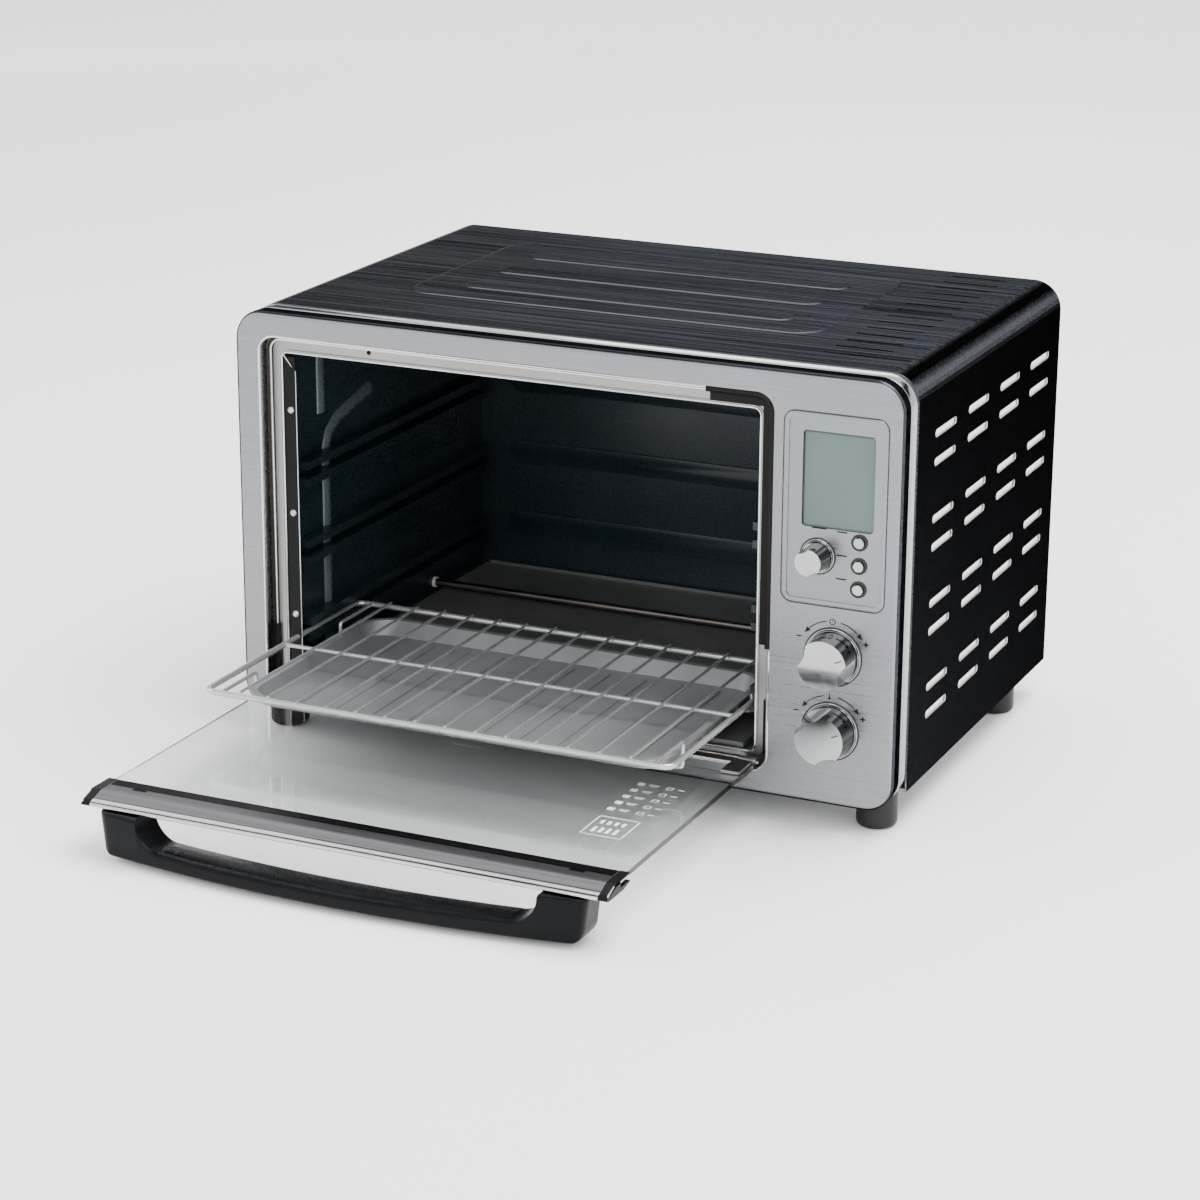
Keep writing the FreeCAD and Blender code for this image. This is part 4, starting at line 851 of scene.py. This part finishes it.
def makePrints():
    p = prints
    y = panel["face"] - panel["printLift"]
    half = panel["printDepth"] / 2
    parts = []
    for key in ("timer", "temperature"):
        x, z = dials[key]["x"], dials[key]["z"]
        for low, high in p["arcs"]:
            turns = [low + (high - low) * i / p["arcSteps"] for i in range(p["arcSteps"] + 1)]
            line = [aroundY(x, y, z, p["arcRadius"], turn) for turn in turns]
            parts.append(wire("arc", line, p["arcWire"], False, 1))
        for place, angle in p["arrows"]:
            tip = aroundY(x, y, z, p["arcRadius"], place)
            parts.append(arrowHead(tip[0], tip[2], angle))
        parts += [panelMark(x, z, *sign) for sign in p["signs"]]
    x, z = (dials["timer"][axis] + shift for axis, shift in zip("xz", p["symbol"]))
    circle = [aroundY(x, y, z, p["clockRadius"], turn) for turn in range(0, 360, p["clockStep"])]
    parts.append(wire("clock", circle, p["clockWire"], True, 1))
    parts += [panelMark(x, z, *hand) for hand in p["clockHands"]]
    x, z = (dials["temperature"][axis] + shift for axis, shift in zip("xz", p["symbol"]))
    parts.append(panelMark(x, z, *p["stem"]))
    r = p["bulbRadius"]
    disc = [(0, -half), (r, -half), (r, half), (0, half)]
    parts.append(turned("bulb", (x, y - half, z - p["bulbDrop"]), disc, 20))
    x, z, pitch = p["keys"]
    parts += [panelMark(x, z - pitch * key, 0.0, 0.0, *p["keyMark"]) for key in range(3)]
    parts.append(panelMark(dials["function"]["x"], dials["function"]["z"], *p["dialMark"]))
    return settle(joinUp("panelPrints", parts), "oven", "print")


def makeSkirts():
    def ringsOf(name):
        section = skirtSections[name]
        return [turned(name, (d["x"], panel["face"], d["z"]), [(d["skirt"] + o, y) for o, y in section])
                for d in dials.values()]
    skirts = joinUp("knobSkirts", ringsOf("skirt"))
    settle(skirts, "oven", "chrome", ["knob_rings"], angle=40)
    # painted shadow: a dark ring round the outer edge of each skirt
    rim = joinUp("knobRimShadows", ringsOf("rim"))
    return settle(rim, "oven", "ring", angle=40)


def makePointers():
    p = pointerLine
    for key, (body, angle) in pointers.items():
        x, z = dials[key]["x"], dials[key]["z"]
        ends = [aroundY(x, p["face"] - p["lift"], z, r, angle) for r in p["reach"]]
        settle(wire(key + "Pointer", ends, p["wire"], False, 2), body, "print")


# bezel: pressed panel, mouldings round it, recess, black corner strip and embossed frame

bezelEdge = {
    "x": 265.0, "low": 20.0, "high": 336.0, "corner": 23.0, "frontRoll": -174.6, "pull": 1.3, "reach": 3.0,
}
bezelAround = (-bezelEdge["x"], bezelEdge["x"], bezelEdge["low"], bezelEdge["high"], bezelEdge["corner"])
bandShape = {
    "rear": ((-1.2, -165.2), (-0.1, -165.6), (0.0, -174.4)), "middle": (-3.2, -174.8), "roll": 3.27,
    "turns": (15, 30, 42, 54), "front": (-2.4, -176.2),
}
beadShape = {
    "front": (-1.2, -164.9), "middle": (-0.9, -157.6), "bulge": (0.86, 6.9), "step": 15,
    "rear": (-1.2, -150.4),
}
wrapGap = ((-2.5, -150.2), (-0.6, -150.2), (-0.6, -149.1), (-2.5, -149.1))
recess = {"x": (-245.0, 168.0), "z": (37.0, 317.5), "corner": 13.0}
recessAround = (*recess["x"], *recess["z"], recess["corner"])
mouthAround = (-231.0, 154.0, 48.0, 303.0, 5.0)
# the recess lip, line and mouth edge are rolled edges whose brightness is a painted highlight
recessTrims = {
    "recessLip": (recessAround, "bezel_steel", "highlightLip", (
        (0.9, -178.05), (0.5, -178.55), (-0.2, -178.6), (-0.9, -178.2), (-1.15, -177.4), (-1.0, -176.4),
        (0.3, -176.4))),
    # painted shade: a dark ring for the shade at the foot of the recess wall
    "recessGroove": (recessAround, "zinc_frame", "grooveShade", (
        (-1.0, -167.6), (-3.0, -167.6), (-3.0, -167.0), (-1.0, -167.0))),
    "recessLine": (recessAround, "zinc_frame", "highlightLip", (
        (-3.2, -167.3), (-3.5, -168.0), (-4.3, -168.2), (-5.0, -167.9), (-5.2, -167.2))),
    "mouthEdge": (mouthAround, "zinc_frame", "highlightLip", (
        (-0.1, -167.2), (0.4, -167.7), (1.2, -167.7), (1.7, -167.2))),
}
embossAround = (178.0, 252.5, 170.5, 307.2, 7.0)
embossTrims = {
    "panelBead": (embossAround, "bezel_steel", "bezel", (
        (1.3, -178.0), (1.1, -178.55), (0.5, -178.92), (-0.4, -178.96), (-1.2, -178.7), (-1.7, -178.0))),
    # painted shade: thin dark lines on both sides of the bead
    "panelShadow": (embossAround, "bezel_steel", "shadeBand", (
        (-1.75, -178.0), (-1.75, -178.08), (-2.6, -178.08), (-2.6, -178.0))),
    "panelOuterShade": (embossAround, "bezel_steel", "shadeBand", (
        (1.35, -178.0), (1.35, -178.1), (2.0, -178.1), (2.0, -178.0))),
}
cornerStrip = {"inset": 1.0, "y": -177.0, "left": 117.0, "low": 131.0, "radius": 2.3, "steps": 10}


def makeBezelPanel():
    # the folded sides of the pressed panel sit just inside the mouldings that cover them
    b = bezelEdge
    obj = copyOf("bezelPanel", "front_bezel")
    middle = (0.0, (b["low"] + b["high"]) / 2)
    half = (b["x"], (b["high"] - b["low"]) / 2)
    for vert in obj.data.vertices:
        x, y, z = (c * perMetre for c in vert.co)
        if y < b["frontRoll"] or insideBy(x, z, middle, half, b["corner"]) > b["reach"]:
            continue
        away = [abs(c - m) - (h - b["corner"]) for c, m, h in zip((x, z), middle, half)]
        if min(away) > 0:
            push = Vector(away).normalized() * b["pull"]
        else:
            push = Vector((b["pull"], 0)) if away[0] > away[1] else Vector((0, b["pull"]))
        vert.co.x -= math.copysign(push[0] / perMetre, x - middle[0])
        vert.co.z -= math.copysign(push[1] / perMetre, z - middle[1])
    smooth(obj, 30)
    evenNormals(obj)
    return settle(obj, "oven", "bezel", ["front_bezel"])


def makeBezelEdge():
    s = bandShape
    band = list(s["rear"])
    for turn in map(math.radians, s["turns"]):
        out = s["middle"][0] + s["roll"] * math.cos(turn)
        band.append((min(0.0, out), s["middle"][1] - s["roll"] * math.sin(turn)))
    band.append(s["front"])
    s = beadShape
    bead = [s["front"]]
    for turn in map(math.radians, range(s["step"], 180, s["step"])):
        out = s["middle"][0] + s["bulge"][0] * math.sin(turn)
        bead.append((out, s["middle"][1] - s["bulge"][1] * math.cos(turn)))
    bead.append(s["rear"])
    addTrims({
        # the band round the bezel's sides is painted dark reflection
        "bezelBand": (bezelAround, "bezel_steel", "shadeBand", band),
        "bezelBead": (bezelAround, "bezel_steel", "bead", bead),
        "wrapGap": (bezelAround, "bezel_steel", "shade", wrapGap),
    })


# black strip round the upper right corner of the recess
def makeCornerStrip():
    s = cornerStrip
    radius = recess["corner"] - s["inset"]
    x, z = (recess[axis][1] - recess["corner"] for axis in "xz")
    arc = [aroundY(x, s["y"], z, radius, 90 - 90 * i / s["steps"]) for i in range(s["steps"] + 1)]
    points = [(s["left"], s["y"], z + radius), *arc, (x + radius, s["y"], s["low"])]
    trim = wire("blackCornerStrip", points, s["radius"], False, 5)
    return settle(trim, "oven", "seal", angle=60)


makePointers()
makeBezelPanel()
makeBezelEdge()
addTrims(recessTrims)
makeCornerStrip()
addTrims(embossTrims)
makeDisplay()
makePrints()
makeSkirts()
print("display, prints and skirts")


# door handle, rail and printed glass

grip = {
    "middle": doorMiddle, "half": 188.0, "gapHalf": 155.0, "fillet": 20.0, "postTop": 36.4, "post": 170.0,
    "barTop": (15.4, 13.8), "low": (4.2, 3.8), "frontEnds": -446.0, "rearEnds": -418.0, "bow": 15.4,
    "rearBow": 0.98, "corner": 2.6, "cornerSteps": 5, "turn": 8.0, "turnIn": 0.8, "taper": 3.2, "pitch": 9.0,
    "gapEdges": (0.01, -0.02),
}
ledgeShape = {
    "inset": 1.0, "steps": 30, "front": 7.0, "rear": 2.2,
    "frontEdge": ((0.0, -0.4), (0.2, 0.5), (0.9, 0.8)), "rearEdge": ((-0.8, 0.8), (0.0, 0.3), (0.0, -0.4)),
}
railShape = {
    "x": (-234.0, 157.0),
    "sheet": ((-407.2, 44.5), (-407.2, 45.1), (-427.0, 45.1), (-429.0, 44.9), (-437.6, 41.9), (-437.4, 41.0),
              (-428.6, 44.0), (-426.8, 44.3)),
    "nose": ((-438.2, 41.6), (-440.6, 41.2), (-442.6, 40.2), (-443.7, 38.8), (-443.7, 37.9), (-443.0, 37.2),
             (-441.6, 37.0), (-418.0, 37.0), (-418.0, 37.8), (-440.0, 37.9), (-440.9, 38.7), (-438.2, 40.4)),
    "grooveY": (-438.4, -437.0), "grooveZ": (40.2, 41.4), "bandY": (-417.5, -407.6), "bandZ": (45.1, 45.28),
    "bandInset": 1.0, "tabInset": 26.0, "tabWidth": 11.0, "tabY": (-420.6, -417.0),
}
capShape = {
    "x": (-241.0, 163.3), "width": 0.7,
    "outline": ((-407.6, 45.2), (-428.6, 45.2), (-441.5, 41.4), (-441.5, 39.0), (-428.6, 43.0),
                (-407.6, 43.4)),
}
glassMarks = {
    "z": (44.03, 44.1), "line": 0.6, "frame": (118.0, -338.0, 30.0, 34.0, 0.8),
    "barX": 109.0, "barPitch": 5.4, "barCount": 4, "bars": ((-345.0, 2.6, 9.0), (-331.0, 2.6, 6.0)),
    "rowY": -306.0, "rowPitch": 13.0, "rowCount": 5, "rowBox": (126.0, 4.4), "rowEnd": (134.5, 0.0, 5.0, 0.9),
    "rowMarks": ((104.0, 0.0, 5.2, 5.2), (113.5, -1.0, 6.0, 0.9), (113.5, 1.6, 8.0, 0.9)),
    "dashX": -52.0, "dashPitch": 9.0, "dashCount": 3, "dash": (-238.0, 7.0, 0.8),
}


def gripLine(x):
    # front, rear, underside and top of the bar at a distance from its middle
    g = grip
    share = 1 - (x / g["half"]) ** 2
    push = g["bow"] * share
    low, bar = (g[key][0] + (g[key][1] - g[key][0]) * share for key in ("low", "barTop"))
    return g["frontEnds"] - push, g["rearEnds"] - push * g["rearBow"], low, bar


def arcDrop(radius, reach):
    # how far a quarter arc has fallen from its flat, at reach from where it starts
    return radius - math.sqrt(max(0, radius ** 2 - reach ** 2))


def gripRing(x):
    g = grip
    away = abs(x)
    y0, y1, z0, top = gripLine(x)
    inner = g["gapHalf"] - g["fillet"]
    if away >= g["gapHalf"]:
        top = g["postTop"]
    elif away > inner:
        top += arcDrop(g["fillet"], away - inner)
    end = g["half"] - away
    r = g["corner"]
    pull = arcDrop(r, r - end) if end < r else 0.0
    if end < g["turn"]:
        lift = arcDrop(g["turn"], g["turn"] - end)
        z0 += lift
        y0 += lift * g["turnIn"]
    taper = 1 - g["taper"] / g["half"]
    ring = []
    front, rear, under, over = y0 + r, y1 - r, z0 + r, top - r
    for cy, cz, start in ((rear, over, 0), (front, over, 90), (front, under, 180), (rear, under, 270)):
        for i in range(g["cornerSteps"] + 1):
            a = math.radians(start + 90 * i / g["cornerSteps"])
            y, z = cy + (r - pull) * math.cos(a), cz + (r - pull) * math.sin(a)
            share = taper + (1 - taper) * (z - z0) / (g["postTop"] - z0)
            ring.append((g["middle"] + x * share, y, z))
    return ring


def quarter(steps):
    return [math.radians(90 * i / steps) for i in range(steps + 1)]


def makeHandle():
    g = grip
    inner = g["gapHalf"] - g["fillet"]
    stations = [g["half"] - g["corner"] * (1 - math.cos(a)) for a in quarter(6)]
    stations += [g["half"] - g["turn"] * (1 - math.cos(a)) for a in quarter(8)]
    stations += [g["gapHalf"] + edge for edge in g["gapEdges"]]
    stations.append(g["post"])
    stations += [g["gapHalf"] - g["fillet"] * (1 - math.sin(a)) for a in quarter(12)[:-1]]
    stations += [i * g["pitch"] for i in range(int(inner / g["pitch"]))]
    xs = sorted({round(side * s, 3) for s in stations for side in (-1, 1)})
    obj = loft("handleBody", [gripRing(x) for x in xs])
    return settle(obj, "door", "handle", ["door_handle"], angle=38)


def makeHandleLedge():
    s = ledgeShape
    inner = grip["gapHalf"] - grip["fillet"] - s["inset"]
    rings = []
    for i in range(s["steps"] + 1):
        x = -inner + 2 * inner * i / s["steps"]
        front, rear, low, bar = gripLine(x)
        outline = [(front + s["front"] + dy, bar + dz) for dy, dz in s["frontEdge"]]
        outline += [(rear - s["rear"] + dy, bar + dz) for dy, dz in s["rearEdge"]]
        rings.append([(grip["middle"] + x, y, z) for y, z in outline])
    return settle(loft("handleLedge", rings), "door", "handle", angle=40)


def sweepX(name, x0, x1, outline):
    return loft(name, [[(x, y, z) for y, z in outline] for x in (x0, x1)])


def makeRail():
    r = railShape
    x0, x1 = r["x"]
    settle(sweepX("railSheet", x0, x1, r["sheet"]), "door", "rail", ["door_rail"])
    # painted highlight along the rail's nose
    highlightLip = sweepX("railLip", x0, x1, r["nose"])
    settle(highlightLip, "door", "highlightLip", angle=50)
    grooveShade = block("railGroove", (x0, x1), r["grooveY"], r["grooveZ"])
    settle(grooveShade, "door", "shade")
    parts = [block("band", (x0 + r["bandInset"], x1 - r["bandInset"]), r["bandY"], r["bandZ"])]
    for x in (x0 + r["tabInset"], x1 - r["tabInset"]):
        parts.append(block("bandTab", (x - r["tabWidth"] / 2, x + r["tabWidth"] / 2), r["tabY"], r["bandZ"]))
    return settle(joinUp("railBand", parts), "door", "band")


def makeGlassPrints():
    g = glassMarks
    parts = []

    def mark(x, y, width, depth):
        xs, ys = (x - width / 2, x + width / 2), (y - depth / 2, y + depth / 2)
        parts.append(block("print", xs, ys, g["z"]))

    def hollow(x, y, width, depth, line=g["line"]):
        mark(x, y - depth / 2, width, line)
        mark(x, y + depth / 2, width, line)
        mark(x - width / 2, y, line, depth + line)
        mark(x + width / 2, y, line, depth + line)

    hollow(*g["frame"])
    for i in range(g["barCount"]):
        for bar in g["bars"]:
            mark(g["barX"] + i * g["barPitch"], *bar)
    for i in range(g["rowCount"]):
        row = g["rowY"] + i * g["rowPitch"]
        for x, dy, width, depth in g["rowMarks"]:
            mark(x, row + dy, width, depth)
        x, side = g["rowBox"]
        hollow(x, row, side, side)
        x, dy, width, depth = g["rowEnd"]
        mark(x, row + dy, width, depth)
    for i in range(g["dashCount"]):
        mark(g["dashX"] + i * g["dashPitch"], *g["dash"])
    return settle(joinUp("glassPrints", parts), "door", "whitePrint")


# painted highlight: thin bright edges on the rail caps
def makeCapEdges():
    c = capShape
    parts = [sweepX("capEdge", x, x + c["width"], c["outline"]) for x in c["x"]]
    return settle(joinUp("capEdges", parts), "door", "highlightLip")


makeHandle()
makeHandleLedge()
makeCapEdges()
makeRail()
makeGlassPrints()
print("handle, rail and printed glass")


# inside of the chamber

backRibs = {
    "y": 161.4, "first": 88.0, "pitch": 62.0, "count": 4, "length": 330.0, "height": 20.0, "depth": 2.4,
    "edge": 0.0008,
}
sideRidge = {
    "x": -237.1, "radius": 9.0,
    "runs": (
        ((-112.0, 244.0), (-112.0, 302.0)),
        ((-106.0, 58.0), (-106.0, 214.0), (-101.0, 226.0), (-88.0, 234.0), (-34.0, 246.0)),
    ),
}
flange = {
    "x": (-230.9, -221.0), "y": (-166.3, -165.6), "z": (52.0, 300.0), "screwX": -225.6,
    "screws": (259.0, 178.5, 98.0), "head": ((0, -1.1), (1.2, -1.05), (2.3, -0.7), (2.8, 0.0)),
    "edge": ((-230.4, -166.2, 301.0), (-221.0, -165.6, 289.0), (-220.6, -165.4, 52.0)), "edgeWire": 0.55,
}


def makeBackRibs():
    b = backRibs
    parts = []
    for i in range(b["count"]):
        middle = (doorMiddle, b["y"], b["first"] + b["pitch"] * i)
        rib = pill("backRib", middle, b["length"], b["height"], b["depth"], "X", "Y")
        softEdges(rib, b["edge"], 2, 50)
        parts.append(rib)
    return settle(joinUp("backRibs", parts), "oven", "enamel", angle=50)


def makeSideRidge():
    # the ridge's lighter enamel is a painted highlight
    s = sideRidge
    runs = [[(s["x"], y, z) for y, z in run] for run in s["runs"]]
    obj = joinUp("sideRidge", [wire("ridge", run, s["radius"], False, 8) for run in runs])
    return settle(obj, "oven", "ridgeHighlight", angle=60)


def makeFlange():
    f = flange
    strip = block("flangeStrip", f["x"], f["y"], f["z"])
    settle(strip, "oven", "black")
    heads = [turned("flangeScrew", (f["screwX"], f["y"][0], z), f["head"], 24) for z in f["screws"]]
    # painted highlight along the liner's edge
    settle(wire("linerEdge", f["edge"], f["edgeWire"]), "oven", "highlightLip")
    return settle(joinUp("flangeScrews", heads), "oven", "screw", angle=50)


makeBackRibs()
makeSideRidge()
makeFlange()
print("chamber details")


# stage, lights and camera

stage = {
    "floorSize": 14.0, "floorAt": (0, 1.0, -0.0003), "floorColor": (0.95, 0.95, 0.95), "floorRoughness": 0.75,
    "worldColor": (0.98, 0.985, 1.0), "worldPower": 2.1, "cardColor": (0.01, 0.01, 0.012),
    "cardRoughness": 0.9,
}
softboxes = {
    "keyTop": {"at": (0.9, 0.2, 2.6), "aim": (0, 0, 0.15), "size": (2.2, 1.6), "watts": 120},
    "fillFront": {"at": (0.2, -3.0, 1.5), "aim": (0, 0, 0.2), "size": (2.4, 1.2), "watts": 26},
    "sideRight": {"at": (2.6, 0.2, 1.3), "aim": (0.1, 0, 0.2), "size": (1.0, 2.0), "watts": 16},
    "sideLeft": {"at": (-2.6, -0.8, 1.4), "aim": (0, 0, 0.2), "size": (1.2, 1.6), "watts": 22},
    "backTop": {"at": (-0.75, 2.9, 1.25), "aim": (0, 0, 0.34), "size": (1.3, 0.7), "watts": 12},
}
cards = {
    "darkRight": {"at": (2.1, 1.6, 1.5), "aim": (0.2, 0.0, 0.3), "size": (2.0, 1.2)},
    "darkBack": {"at": (1.15, 2.5, 1.5), "aim": (0.26, 0.0, 0.33), "size": (1.1, 0.75)},
    "darkAbove": {"at": (-1.15, -0.95, 2.5), "aim": (0.0, -0.18, 0.33), "size": (1.5, 1.3)},
    "darkLeft": {"at": (-2.4, 2.2, 1.1), "aim": (-0.2, 0.0, 0.33), "size": (1.6, 1.0)},
}
photoCamera = {
    "at": (0.9859, -2.2469, 0.8864), "turn": (72.0598, -0.2678, 24.7467), "lens": 98.894, "sensor": 36.0,
    "far": 100,
}


def plainMaterial(name, color, roughness):
    mat, tree, shader = newMaterial(name)
    feed(tree, shader, {"Base Color": (*color, 1), "Roughness": roughness})
    return mat


def faceAim(obj, place):
    aim = Vector(place["aim"]) - Vector(place["at"])
    obj.rotation_euler = aim.to_track_quat("-Z", "Y").to_euler()


def makeStage():
    clearSelection()
    bpy.ops.mesh.primitive_plane_add(size=stage["floorSize"], location=stage["floorAt"])
    floor = bpy.context.object
    floor.name = "studioFloor"
    paint(floor, plainMaterial("paleFloor", stage["floorColor"], stage["floorRoughness"]))
    world = bpy.data.worlds.new("studioWorld")
    bpy.context.scene.world = world
    world.use_nodes = True
    back = world.node_tree.nodes["Background"]
    feed(world.node_tree, back, {"Color": (*stage["worldColor"], 1), "Strength": stage["worldPower"]})


def makeLights():
    for name, box in softboxes.items():
        clearSelection()
        bpy.ops.object.light_add(type="AREA", location=box["at"])
        lamp = bpy.context.object
        lamp.name = name
        lamp.data.shape = "RECTANGLE"
        lamp.data.size, lamp.data.size_y = box["size"]
        lamp.data.energy = box["watts"]
        faceAim(lamp, box)


def makeCards():
    # dark cards that the polished metal reflects
    mat = plainMaterial("darkCard", stage["cardColor"], stage["cardRoughness"])
    for name, card in cards.items():
        clearSelection()
        bpy.ops.mesh.primitive_plane_add(size=1, location=card["at"])
        plane = bpy.context.object
        plane.name = name
        plane.scale = (*card["size"], 1)
        faceAim(plane, card)
        bpy.ops.object.transform_apply(location=True, rotation=True, scale=True)
        paint(plane, mat)


def makeCamera():
    c = photoCamera
    clearSelection()
    turn = [math.radians(a) for a in c["turn"]]
    bpy.ops.object.camera_add(location=c["at"], rotation=turn)
    camera = bpy.context.object
    camera.name = "photoCamera"
    camera.data.lens = c["lens"]
    camera.data.sensor_width = c["sensor"]
    camera.data.clip_end = c["far"]
    bpy.context.scene.camera = camera


makeStage()
makeLights()
makeCards()
makeCamera()
print("stage, lights and camera ready")
